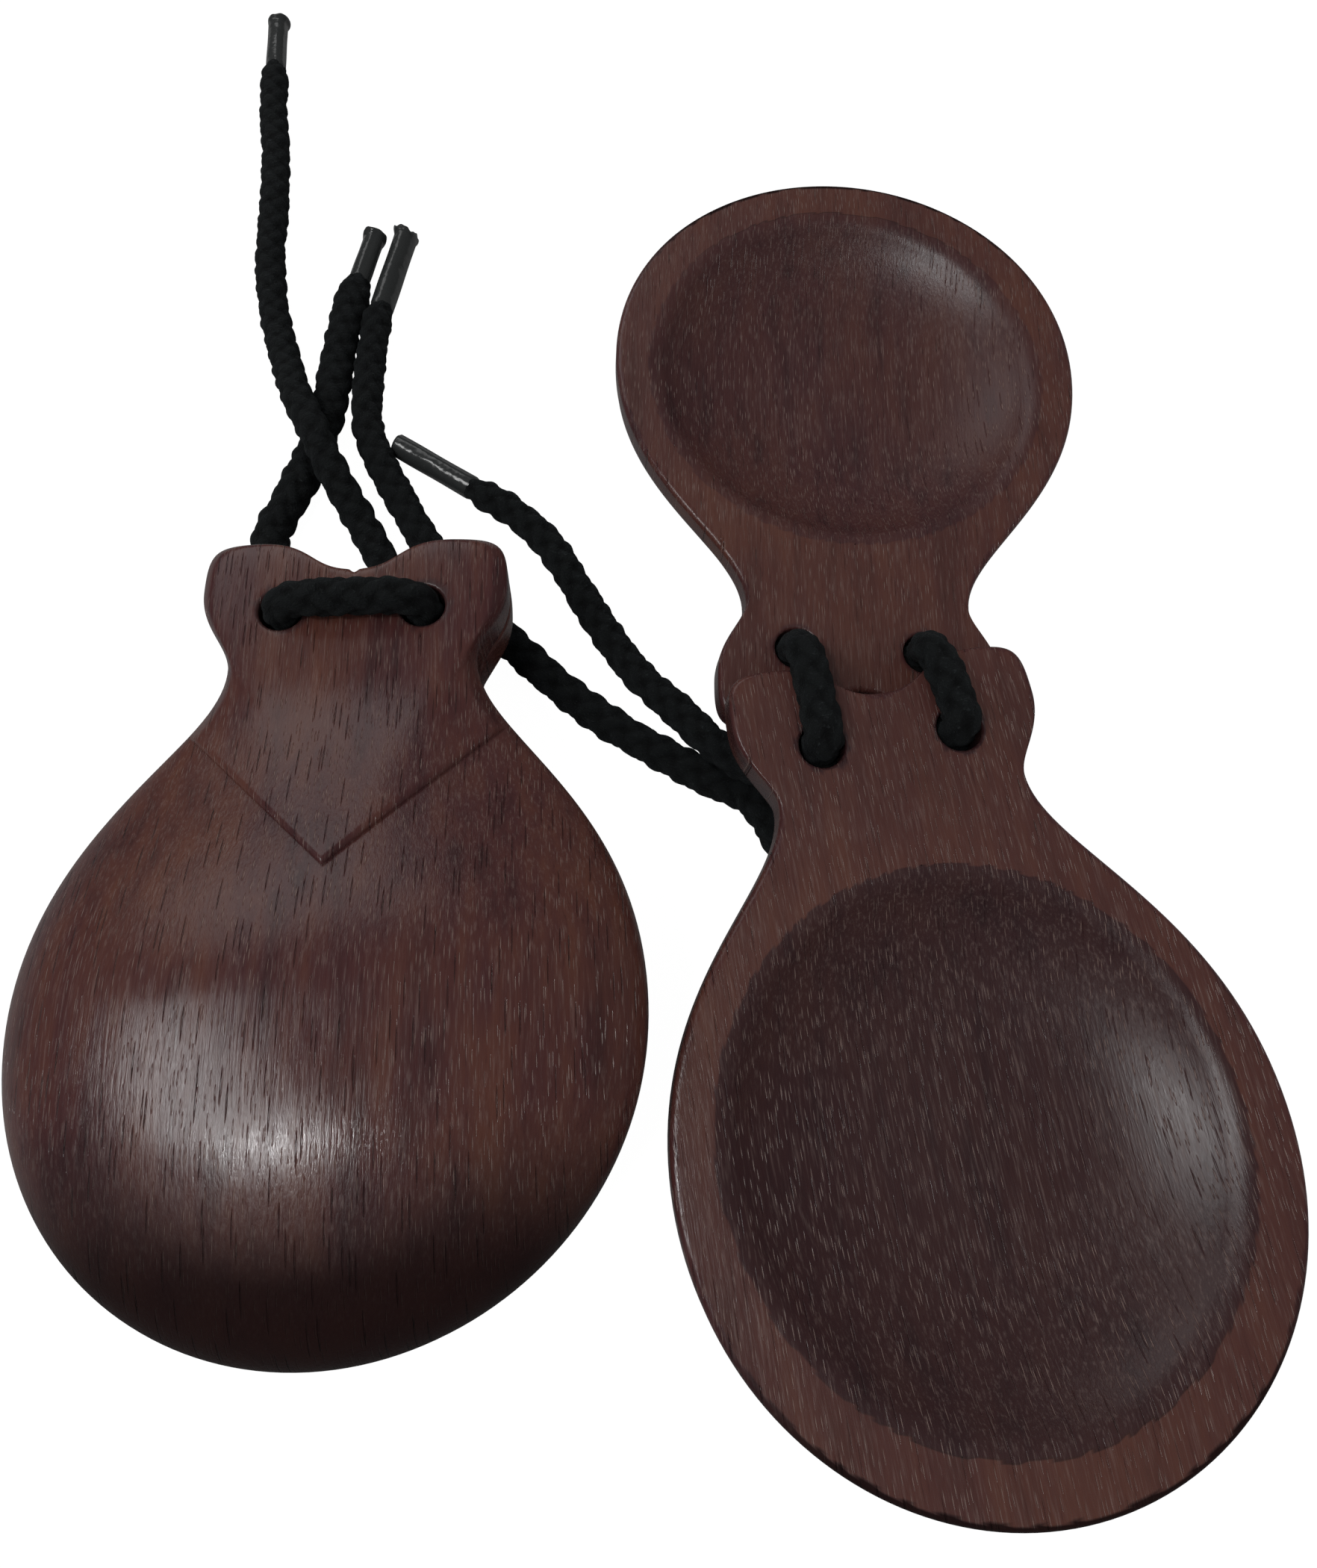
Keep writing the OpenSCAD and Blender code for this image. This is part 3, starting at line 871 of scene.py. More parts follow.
    def build(self, name: str, place: Place) -> bpy.types.Object:
        """Puts the shell together as one closed mesh.

        Args:
            name: the piece's name.
            place: where the shell lies.

        Returns:
            The piece, with the attributes that its finish reads.
        """
        skin = self.outer_skin()
        face = self.joint_face(skin[0])
        bowl = self.hollow()
        columns = skin.shape[1]
        skin_points = skin.reshape(-1, 3)
        skin_faces = grid_triangles(skin.shape[0], columns, True)
        face_points = face.reshape(-1, 3)
        face_faces = grid_triangles(face.shape[0], columns, True)
        walls = []
        for side in (-1, 1):
            skin_points, skin_faces, low = self.open_hole(skin_points, skin_faces, side)
            face_points, face_faces, high = self.open_hole(face_points, face_faces, side)
            walls.append(self.hole_wall(skin_points[low], face_points[high]))
        parts = [
            (skin_points, skin_faces, 0.0, 0.0),
            (face_points, face_faces, 1.0, 0.0),
            (bowl.reshape(-1, 3), grid_triangles(bowl.shape[0], bowl.shape[1], True), 0.0, 1.0),
        ]
        parts += [
            (w.reshape(-1, 3), grid_triangles(w.shape[0], w.shape[1], True), 0.0, 1.0) for w in walls
        ]
        offsets = np.cumsum([0] + [len(p[0]) for p in parts])
        points = np.vstack([p[0] for p in parts])
        triangles = np.vstack([p[1] + o for p, o in zip(parts, offsets)])
        on_face = np.concatenate([np.full(len(p[0]), p[2]) for p in parts])
        in_hollow = np.concatenate([np.full(len(p[0]), p[3]) for p in parts])
        made = make_piece(
            name,
            place.put(points),
            triangles,
            {"shell_place": points * MM},
            {"joint_face": on_face, "hollow": in_hollow},
        )
        log.info("%s: %d triangles", name, len(made.data.polygons))
        return made


# ---------------------------------------------------------------------------------------------
# Cords and tips


@dataclass
class Braid:
    """Round braid of two families of strands that spiral opposite ways and pass over and under.

    Attributes:
        radius: middle of the relief.
        relief: height of a strand's crest above the valley.
        strands: strands in each family.
        lay: length of cord in which a strand goes once round.
        wander: unevenness of the thickness, as a share.
        sides: points round the cord.
        step: distance between rings.
        first_taper, last_taper: length over which the ends narrow.
        cap_angles, cap_out: rings of the domed ends, and how far the ends stand out.
        lowest: height above the surface that no ring goes below.
    """

    radius: float = 2.17
    relief: float = 0.5
    strands: int = 4
    lay: float = 15.5
    wander: float = 0.035
    sides: int = 44
    step: float = 0.34
    first_taper: float = 4.2
    last_taper: float = 2.6
    cap_angles: tuple[float, ...] = (0.0, 25.0, 50.0, 75.0)
    cap_out: float = 0.9
    lowest: float = 0.04

    def height(self, around: np.ndarray, along: np.ndarray) -> np.ndarray:
        """Relief from 0 to 1.

        With p and q the phases of the two families, a strand's crest is (1 - cos p)/2. The
        family on top changes from crossing to crossing, by the sign of sin(p/2) sin(q/2).

        Args:
            around: angle round the cord, in radians.
            along: distance along the cord.

        Returns:
            The relief at each point.
        """
        twist = 2 * math.pi * along / self.lay
        p, q = self.strands * (around + twist), self.strands * (around - twist)
        one, two = (1 - np.cos(p)) / 2, (1 - np.cos(q)) / 2
        over = smooth(0.5 + 0.75 * np.sin(p / 2) * np.sin(q / 2))
        return np.maximum(one**0.55 * mix(0.45, 1.0, over), two**0.55 * mix(1.0, 0.45, over))

    def unevenness(self, around: np.ndarray, along: np.ndarray, seed: float) -> np.ndarray:
        """Share by which the cord is thicker or thinner, as a sum of slow waves.

        Args:
            around: angle round the cord, in radians.
            along: distance along the cord.
            seed: place in the waves.

        Returns:
            The share at each point.
        """
        waves = np.sin(along * 0.9 + 5 * seed) + np.sin(along * 0.37 + 11 * seed)
        waves = waves + np.sin(along * 2.1 + 3 * seed) + np.sin(2 * around + along * 0.55 + 7 * seed)
        return self.wander / 2 * waves

    def sweep(
        self,
        name: str,
        path: np.ndarray,
        reference: tuple[float, float, float],
        taper: tuple[float, float] = (0.0, 0.0),
        seed: float = 0.0,
        spread: np.ndarray | None = None,
        press: float = 1.0,
        swell: float = 1.0,
    ) -> bpy.types.Object:
        """Carries the braid's profile along a path.

        Each ring lies square to the path: one side of it is the path's direction crossed with
        the reference, the other is that side crossed with the direction. Both ends close in a
        small dome.

        Args:
            name: the piece's name.
            path: ring centres (n, 3).
            reference: a direction that the path never takes.
            taper: how far the first and the last end narrow, as shares of the radius.
            seed: place in the unevenness, so that no two cords are alike.
            spread: distance along the cord of each ring, if not that of the path.
            press: thickness on the first of the ring's two sides, as a share.
            swell: thickness of the whole cord, as a share.

        Returns:
            The piece, pressed flat where it would reach below the surface it lies on.
        """
        run = np.concatenate([[0.0], np.cumsum(np.linalg.norm(np.diff(path, axis=0), axis=1))])
        along = run if spread is None else spread
        ahead = unit(np.gradient(path, axis=0))
        side = unit(np.cross(ahead, np.array(reference)))
        other = np.cross(side, ahead)
        angle = np.linspace(0, 2 * math.pi, self.sides, endpoint=False)[None, :]
        high = self.height(angle, along[:, None] + 3.1 * seed)
        first = smooth(along / self.first_taper)[:, None]
        last = smooth((along[-1] - along) / self.last_taper)[:, None]
        narrow = (1 - taper[0] * (1 - first)) * (1 - taper[1] * (1 - last))
        thick = self.radius * swell * (1 + self.unevenness(angle, along[:, None], seed))
        r = (thick + self.relief * (high - 0.6)) * narrow
        rings = path[:, None] + r[:, :, None] * (
            press * np.cos(angle)[:, :, None] * side[:, None] + np.sin(angle)[:, :, None] * other[:, None]
        )
        rings[:, :, 2] = np.maximum(rings[:, :, 2], self.lowest)
        caps = np.radians(self.cap_angles)[:, None, None]
        start = path[0] + (rings[0] - path[0])[None] * np.sin(caps) - ahead[0] * self.cap_out * np.cos(caps)
        end = path[-1] + (rings[-1] - path[-1])[None] * np.sin(caps) + ahead[-1] * self.cap_out * np.cos(caps)
        points = np.concatenate([start, rings, end[::-1]])
        rows, flat = len(points), np.zeros((len(caps), self.sides))
        relief = np.concatenate([flat, high, flat])
        far = np.pad(along, len(caps), mode="edge")[:, None]
        circle = np.stack(np.broadcast_arrays(np.cos(angle) * 0.5, far * 0.2, np.sin(angle) * 0.5), 2)
        made = make_piece(
            name,
            points.reshape(-1, 3),
            grid_triangles(rows, self.sides, True),
            {"braid_place": circle.reshape(-1, 3)},
            {"braid_relief": relief.ravel()},
        )
        log.info("%s: %.1f mm of braid", name, along[-1] - along[0])
        return made


class TipEnd(Enum):
    """How the open end of a cord tip looks."""

    CLEAN = "clean"
    FLARED = "flared"
    TORN = "torn"


@dataclass(frozen=True)
class CordTip:
    """Thin plastic tube pressed on the end of a cord.

    Attributes:
        length: from the cord to the open end.
        end: how the open end looks.
        diameter, wall, mouth: size of the tube and depth of its open end.
        swell: thickness of the cord that it sits on, as a share of the others'.
        squeeze: how far it is pressed flat, as a share.
        crease: depth of the lengthwise crease.
        sides: points round the tube.
    """

    length: float
    end: TipEnd
    diameter: float = 3.5
    wall: float = 0.35
    mouth: float = 3.0
    swell: float = 1.08
    squeeze: float = 0.06
    crease: float = 0.12
    sides: int = 56

    def build(self, name: str, start: np.ndarray, ahead: np.ndarray, roll: float) -> bpy.types.Object:
        """Turns the tube as rings from its cord end, out to its open end and back inside.

        The radius is the tube's own, pressed flat by squeeze cos 2a, with a crease as a narrow
        bell curve round one angle. A torn end widens and its length changes with the angle.

        Args:
            name: the piece's name.
            start: centre of the cord end.
            ahead: direction towards the open end, of length 1.
            roll: angle of the crease round the tube, in radians.

        Returns:
            The piece.
        """
        side = unit(np.cross(ahead, [0.0, 0.0, 1.0]))
        up = np.cross(side, ahead)
        a = np.linspace(0, 2 * math.pi, self.sides, endpoint=False)[None, :]
        t = np.concatenate([[0.0, 0.012, 0.04], np.linspace(0.08, 1, 34)])[:, None]
        spoilt = 1.6 / self.length
        base = self.diameter / 2 * (1 - 0.10 * (1 - smooth(t / 0.04)))
        shape = 1 + self.squeeze * np.cos(2 * (a - roll)) + 0.012 * np.sin(9 * t + 2 * a)
        bell = np.exp(-(((a - roll + math.pi) % (2 * math.pi) - math.pi) ** 2) / 0.05)
        near_end = smooth((t - 1 + spoilt) / spoilt)
        flare = {
            TipEnd.CLEAN: 0.0 * a,
            TipEnd.FLARED: 0.16 + 0.10 * np.cos(a - roll),
            TipEnd.TORN: 0.10 + 0.20 * np.maximum(0, np.cos(a - roll)) ** 3 - 0.08 * np.cos(3 * a),
        }[self.end]
        jag = {
            TipEnd.CLEAN: 0.05 * np.sin(2 * a),
            TipEnd.FLARED: 0.16 * np.sin(3 * a + roll) + 0.1 * np.sin(7 * a),
            TipEnd.TORN: 0.38 * np.sin(2 * a + roll) + 0.22 * np.sin(5 * a) + 0.12 * np.sin(11 * a),
        }[self.end]
        outer_r = base * shape * (1 + flare * near_end) - self.crease * bell * smooth(t / 0.15)
        along = t * self.length + (jag - 0.45) * near_end
        depth = np.linspace(0, 1, 9)[:, None]
        inner_r = outer_r[-1:] - self.wall * smooth(depth / 0.12)
        inner_r = inner_r * (1 - flare * smooth(depth * 1.5) * 0.6)
        inner_along = along[-1:] - depth * self.mouth
        plug = np.array([0.6, 0.25, 0.0])[:, None]
        r = np.concatenate([np.zeros((1, self.sides)), outer_r, inner_r, inner_r[-1:] * plug])
        x = np.concatenate([along[:1], along, inner_along, np.repeat(inner_along[-1:], 3, axis=0)])
        points = (
            start
            + x[:, :, None] * ahead
            + r[:, :, None] * (np.cos(a)[:, :, None] * side + np.sin(a)[:, :, None] * up)
        )
        made = make_piece(name, points.reshape(-1, 3), grid_triangles(len(r), self.sides, True))
        log.info("%s: %.1f mm tip, %s", name, self.length, self.end.value)
        return made


# ---------------------------------------------------------------------------------------------
# The two pairs


@dataclass(frozen=True)
class CordPass:
    """How the cord passes the shells, in the shells' and the fold's own frames.

    Attributes:
        cord_r: half the cord's thickness.
        play: gap between the cord and the wood it lies on.
        press: how far a strand over the ears is pressed onto them.
        bend: radius of the turn into a hole.
    """

    cord_r: float = CORD_D / 2
    play: float = 0.25
    press: float = 0.45
    bend: float = 2.9

    def staple(self, form: ShellForm, start: float) -> np.ndarray:
        """Down one hole, across the outer face and up the other, in the shell's frame.

        Args:
            form: the shell.
            start: height of both ends.

        Returns:
            Knots (n, 3).
        """
        u, low, b = form.hole_pitch / 2, -form.ear_t - self.play - self.cord_r, self.bend
        corner = b * (1 - math.sqrt(0.5))
        way = np.array(
            [
                [u, start],
                [u, mix(start, low + b, 0.5)],
                [u, low + b],
                [u - corner, low + corner],
                [u - b, low],
            ]
        )
        x = np.concatenate([way[:, 0], [3.0, 0.0, -3.0], -way[::-1, 0]])
        z = np.concatenate([way[:, 1], [low - 0.12, low - 0.16, low - 0.12], way[::-1, 1]])
        return np.stack([x, np.full(len(x), form.hole_y), z], 1)


@dataclass
class OpenPair:
    """The pair folded open flat, with its cord.

    Attributes:
        form: the shells' shape.
        braid: the cord's make-up.
        cord: how the cord passes the shells.
        ear_lap, face_gap: how far the ears lie over each other, and the play between them.
        bodies_apart: the closed pair's body centre to this near one's, along X.
        fold_y, height: place of the fold's middle.
        turn, splay, roll: turn of the fold about Z, of each shell against it, and about X.
        left_tip, right_tip: the tips of the loose ends.
    """

    form: ShellForm
    braid: Braid
    cord: CordPass = CordPass()
    ear_lap: float = 6.4
    face_gap: float = 0.3
    bodies_apart: float = 70.8
    fold_y: float = -0.6
    turn: float = 5.6
    splay: float = 4.7
    roll: float = 0.26
    height: float = 15.3
    left_tip: CordTip = CordTip(15.6, TipEnd.CLEAN, swell=1.04)
    right_tip: CordTip = CordTip(18.0, TipEnd.TORN, diameter=3.7, squeeze=0.12)

    @property
    def reach(self) -> float:
        """Body centre to fold line."""
        return self.form.ear_top_y - self.ear_lap / 2

    @property
    def drop(self) -> float:
        """Joint face to fold axis."""
        return (self.form.ear_t + self.face_gap) / 2

    def fold(self) -> Place:
        """The fold's frame: X along the fold line, Z up."""
        tilt = math.degrees(math.atan2(self.drop, self.reach)) - self.roll
        turned = turn_about("Z", self.turn)
        near = turned @ turn_about("Z", self.splay) @ np.array([0, -self.reach, self.drop])
        x = self.bodies_apart / 2 - near[0]
        return Place(turned @ turn_about("X", tilt), np.array([x, self.fold_y, self.height]))

    def near(self) -> Place:
        """The near shell's frame."""
        turn = turn_about("Z", self.splay)
        return self.fold().inside(turn, turn @ np.array([0, -self.reach, self.drop]))

    def far(self) -> Place:
        """The far shell's frame."""
        turn = turn_about("Z", 180 - self.splay)
        return self.fold().inside(turn, turn @ np.array([0, -self.reach, -self.drop]))

    def strand_knots(self, side: int) -> np.ndarray:
        """Strand from inside a near hole, over the near ears, down into the far hole.

        Args:
            side: -1 for the left strand, 1 for the right.

        Returns:
            Knots (n, 3) in the fold's frame. The strand leans to the left on its way, and it
            comes down before the far hole's middle, by its own pull.
        """
        near = np.array([side * self.form.hole_pitch / 2, self.form.hole_y - self.reach, self.drop])
        hole = turn_about("Z", self.splay) @ near
        s, top = -hole[1], self.drop + self.cord.cord_r - self.cord.press
        pull, lean = (0.8, 1.3) if side < 0 else (0.35, 2.3)
        path = np.array(
            [
                [-s, -0.4], [-s, 1.5], [-s + 0.25, top - 1.6], [-s + 1.3, top - 0.35], [-s + 3.0, top],
                [-0.8, top + 0.1], [s - 4.3 - 0.4 * pull, top - 0.15], [s - 2.4 - 0.9 * pull, top - 1.2],
                [s - 1.2 - 1.2 * pull, top - 2.9], [s - 0.5 - 1.1 * pull, top - 5.0], [s - 0.8 * pull, -2.0],
                [s, -4.4], [s, -5.4],
            ]
        )
        aside = np.interp(0.5 + path[:, 0] / (2 * s), (0.03, 0.84, 1.0), (0.0, lean, 0.0))
        return np.stack([hole[0] - aside, path[:, 0], path[:, 1]], 1)

    def tail_knots(self, side: int, route: np.ndarray) -> np.ndarray:
        """Loose end: inside its near hole, down, and along its route."""
        x, y = side * self.form.hole_pitch / 2, self.form.hole_y
        inside = self.near().put(np.array([[x, y, -self.drop], [x, y, -self.form.ear_t]]))
        return np.vstack([inside, route])

    def build(self, dress: "Dresser") -> None:
        """Makes, dresses and places every piece of the pair.

        Args:
            dress: gives the pieces their finish and place.
        """
        for side, word, route, tip, seed, roll in (
            (-1, "left", OPEN_LEFT_ROUTE, self.left_tip, 0.4, 0.9),
            (1, "right", OPEN_RIGHT_ROUTE, self.right_tip, 1.3, 2.2),
        ):
            knots, node = self.tail_knots(side, route), f"open_cord_{word}_tail"
            dress.loose_end(self.braid, knots, tip, node, f"open_{word}_tip", "open_near", seed, roll)
        across = tuple(self.fold().turn[:, 0])
        ends = self.fold().put(np.array([[0.0, -6.5, 0.0], [0.0, 6.5, 0.0]])) * MM
        for side, node in ((-1, "open_cord_left_strand"), (1, "open_cord_right_strand")):
            path = smooth_path(self.fold().put(self.strand_knots(side)), self.braid.step)
            piece = self.braid.sweep("braid_" + node, path, across, seed=0.7 * side, press=0.84, swell=1.06)
            dress.cord(piece, node)
            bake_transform(piece)
        path = smooth_path(self.far().put(self.cord.staple(self.form, self.drop - 5.0)), self.braid.step)
        along = tuple(self.far().turn[:, 1])
        piece = self.braid.sweep("braid_open_cord_far_crossing", path, along, seed=1.9, swell=1.16)
        dress.cord(piece, "open_cord_far_crossing")
        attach(piece, "open_far")
        dress.shell(self.form.build("wood_open_near_shell", self.near()), "open_near_shell", "open_near")
        dress.shell(self.form.build("wood_open_far_shell", self.far()), "open_far_shell", "open_far")


@dataclass
class ClosedPair:
    """The pair that lies closed, dome up, with its cord.

    Attributes:
        form: the shells' shape.
        braid: the cord's make-up.
        cord: how the cord passes the shells.
        centre: the lower shell's body centre.
        turn: turn about Z, in degrees.
        face_gap: play between the joint faces.
        nick: depth of the small nick in the upper shell's notch.
        hidden: cord inside the holes on either side of the joint, for the links.
        drawn: cord that a link pays out when the pair is open.
        left_tip, right_tip: the tips of the loose ends.
    """

    form: ShellForm
    braid: Braid
    cord: CordPass = CordPass()
    centre: tuple[float, float] = (-35.4, -42.4)
    turn: float = 5.2
    face_gap: float = 0.3
    nick: float = 0.5
    hidden: float = 2.5
    drawn: float = 17.0
    left_tip: CordTip = CordTip(11.5, TipEnd.FLARED, diameter=3.8, squeeze=0.10, swell=1.22)
    right_tip: CordTip = CordTip(14.5, TipEnd.FLARED)

    def bottom(self) -> Place:
        """The lower shell's frame."""
        return Place(turn_about("Z", self.turn), np.array([*self.centre, self.form.shell_t]))

    def top(self) -> Place:
        """The upper shell's frame: the lower one's, turned over."""
        return self.bottom().inside(turn_about("Y", 180), [0, 0, self.face_gap])

    def tail_knots(self, side: int, route: np.ndarray) -> np.ndarray:
        """Loose end: inside its hole, down, and along its route."""
        x, y = side * self.form.hole_pitch / 2, self.form.hole_y
        inside = np.array([[x, y, -0.1], [x, y, -self.form.ear_t / 2], [x, y, -self.form.ear_t]])
        return np.vstack([self.bottom().put(inside), route])

    def link(self, side: int) -> tuple[np.ndarray, np.ndarray]:
        """Stretch of cord that is drawn out of the holes as the pair opens.

        Its rings crowd at the joint, because they spread along an arc when the shell swings up.

        Args:
            side: -1 for the left hole, 1 for the right.

        Returns:
            Ring centres, and each ring's distance along the cord when it is drawn out.
        """
        x, y = side * self.form.hole_pitch / 2, self.form.hole_y
        ends = np.array([-0.1, self.face_gap + 0.1])
        low = np.linspace(ends[0] - self.hidden, ends[0], 8)
        high = np.linspace(ends[1], ends[1] + self.hidden, 8)
        z = np.concatenate([low, np.linspace(*ends, 46)[1:-1], high])
        path = self.bottom().put(np.stack([np.full(len(z), x), np.full(len(z), y), z], 1))
        lengths = np.cumsum([0.0, self.hidden, self.drawn, self.hidden])
        return path, np.interp(z, [low[0], *ends, high[-1]], lengths)

    def build(self, dress: "Dresser") -> None:
        """Makes, dresses and places every piece of the pair.

        Args:
            dress: gives the pieces their finish and place.
        """
        for side, word, route, tip, seed, roll in (
            (-1, "left", CLOSED_LEFT_ROUTE, self.left_tip, 2.6, 1.2),
            (1, "right", CLOSED_RIGHT_ROUTE, self.right_tip, 3.4, 0.3),
        ):
            knots, node = self.tail_knots(side, route), f"closed_cord_{word}_tail"
            dress.loose_end(self.braid, knots, tip, node, f"closed_{word}_tip", "closed_bottom", seed, roll)
        along = tuple(self.top().turn[:, 1])
        path = smooth_path(self.top().put(self.cord.staple(self.form, -0.1)), self.braid.step)
        piece = self.braid.sweep("braid_closed_cord_crossing", path, along, seed=4.1)
        dress.cord(piece, "closed_cord_crossing")
        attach(piece, "closed_top")
        ends = self.bottom().put(np.array([[0, 0, -0.1], [0, 0, self.face_gap + 0.1]])) * MM
        for side, word in ((-1, "left"), (1, "right")):
            path, spread = self.link(side)
            name = f"braid_closed_cord_{word}_link"
            piece = self.braid.sweep(name, path, along, (0.06, 0.06), 5.0 * side, spread)
            dress.cord(piece)
            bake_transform(piece)
        lower = self.form.build("wood_closed_bottom_shell", self.bottom())
        dress.shell(lower, "closed_bottom_shell", "closed_bottom")
        upper = replace(self.form, nick=self.nick).build("wood_closed_top_shell", self.top())
        dress.shell(upper, "closed_top_shell", "closed_top")


@dataclass
class Dresser:
    """Gives pieces their finish and place in the frame.

    Attributes:
        woods: the shells' finishes by slot.
        yarn: the cord's finish.
        plastic: the tips' finish.
        in_hole: thickness of a loose end inside its hole, as a share.
        in_tip: how far it narrows inside its tip, as a share.
        tip_lap: how far the tip reaches over the cord's end.
    """

    woods: dict[str, bpy.types.Material]
    yarn: bpy.types.Material
    plastic: bpy.types.Material
    in_hole: float = 1.24
    in_tip: float = 0.26
    tip_lap: float = 0.5

    def shell(self, piece: bpy.types.Object, node: str, body: str) -> None:
        """Dresses a shell, which replaces the node and rides on the body."""
        slot = node.replace("_shell", "_wood")
        piece.data.materials.append(self.woods[slot])
        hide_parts(node)
        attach(piece, body)

    def cord(self, piece: bpy.types.Object, *nodes: str) -> None:
        """Dresses a stretch of cord, which replaces the nodes."""
        piece.data.materials.append(self.yarn)
        if nodes:
            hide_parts(*nodes)

    def loose_end(
        self,
        braid: Braid,
        knots: np.ndarray,
        tip: CordTip,
        cord_node: str,
        tip_node: str,
        body: str,
        seed: float,
        roll: float,
    ) -> None:
        """Args:
            braid: the cord's make-up.
            knots: from inside the hole to the tip.
            tip: the tip.
            cord_node: the CAD node that the cord replaces.
            tip_node: the CAD node that the tip replaces.
            body: the body that both ride on.
            seed: place in the cord's unevenness.
            roll: angle of the tip's crease.
        """
        path = smooth_path(knots, braid.step)
        taper = (1 - self.in_hole / tip.swell, self.in_tip)
        piece = braid.sweep("braid_" + cord_node, path, reference_for(path), taper, seed, swell=tip.swell)
        self.cord(piece, cord_node)
        ahead = unit(knots[-1] - knots[-2])
        end = tip.build("plastic_" + tip_node, knots[-1] - self.tip_lap * ahead, ahead, roll)
        end.data.materials.append(self.plastic)
        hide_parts(tip_node)
        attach(piece, body)
        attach(end, body)


def reference_for(path: np.ndarray) -> tuple[float, float, float]:
    """Finds a direction that the path never takes, so that its rings never flip.

    Args:
        path: points (n, 3).

    Returns:
        Of 400 directions spread over a half sphere, the one whose least angle to the path's
        directions is largest.
    """
    ahead = unit(np.gradient(path, axis=0))
    count = 400
    i = np.arange(count)
    z = 1 - (i + 0.5) / count
    turn = i * math.pi * (3 - math.sqrt(5))
    tries = np.stack([np.sqrt(1 - z * z) * np.cos(turn), np.sqrt(1 - z * z) * np.sin(turn), z], 1)
    worst = np.abs(tries @ ahead.T).max(axis=1)
    return tuple(tries[int(worst.argmin())])


# Height of a cord's middle where it lies on the surface, and the routes of the four loose ends
LYING = 2.4
CLOSED_LEFT_ROUTE = np.array(
    [
        [-48.9, 5, 5.6], [-50.5, 8.5, 3.2], [-53.5, 13, LYING], [-57.5, 19, LYING], [-59, 25, LYING],
        [-57.5, 31, LYING], [-55.5, 39, LYING], [-54.2, 48, LYING], [-54.2, 57, LYING], [-54, 64, 2.9],
        [-53.4, 71, 3.2], [-53, 74.5, 3.1],
    ]
)
CLOSED_RIGHT_ROUTE = np.array(
    [
        [-31.9, 6.8, 5.4], [-34, 10, 3], [-38.5, 16.5, LYING], [-45.5, 27.5, 3.2], [-50.3, 34.5, 5.8],
        [-54, 41, 7.4], [-58.5, 49, 6.1], [-62, 57, 3.6], [-66, 67.5, LYING], [-68.8, 79, LYING],
        [-70.3, 91, LYING], [-72.3, 104, LYING], [-74.8, 116, 2.6], [-76.3, 126.5, LYING],
    ]
)
OPEN_LEFT_ROUTE = np.array(
    [
        [17.2, -9.2, 8], [14.1, -9.2, 6.8], [10.6, -8, 6.5], [6.6, -5.2, 6], [2, -0.2, 4.6],
        [-4, 6, 3], [-10, 14.5, LYING], [-17, 25.5, LYING], [-23, 31.3, LYING], [-27, 33.7, 2.5],
        [-30, 35.5, LYING],
    ]
)
OPEN_RIGHT_ROUTE = np.array(
    [
        [34.7, -7.2, 6.6], [32.6, -10.6, 3.4], [28.6, -15.4, LYING], [24.4, -19.4, LYING],
        [20, -20.4, LYING], [16.8, -18, LYING], [14.6, -14.4, LYING], [11.5, -11, LYING],
        [6, -8.8, LYING], [-8.5, -1, LYING], [-20.5, 8.5, LYING], [-32, 20, LYING], [-42, 35, LYING],
        [-47.1, 44.7, LYING], [-48.6, 54, LYING], [-49, 66.5, 2.5], [-48.6, 70, LYING],
    ]
)


# ---------------------------------------------------------------------------------------------
# Camera, light and floor


@dataclass(frozen=True)
class Lamp:
    """Soft rectangular lamp that faces a point.

    Attributes:
        name: the lamp's name.
        place: its middle, in metres.
        target: the point it faces, in metres.
        size: width and height, in metres.
        power: in watts.
    """

    name: str
    place: tuple[float, float, float]
    target: tuple[float, float, float]
    size: tuple[float, float]
    power: float

    def build(self) -> None:
        """Adds the lamp to the scene."""
        data = bpy.data.lights.new(self.name, "AREA")
        data.shape = "RECTANGLE"
        data.size, data.size_y = self.size
        data.energy = self.power
        made = bpy.data.objects.new(self.name, data)
        z = unit(np.array(self.place) - np.array(self.target))
        x = unit(np.cross([0.0, 0.0, 1.0], z))
        y = np.cross(z, x)
        made.matrix_world = Matrix([[x[i], y[i], z[i], self.place[i]] for i in range(3)] + [[0, 0, 0, 1]])
        bpy.context.scene.collection.objects.link(made)


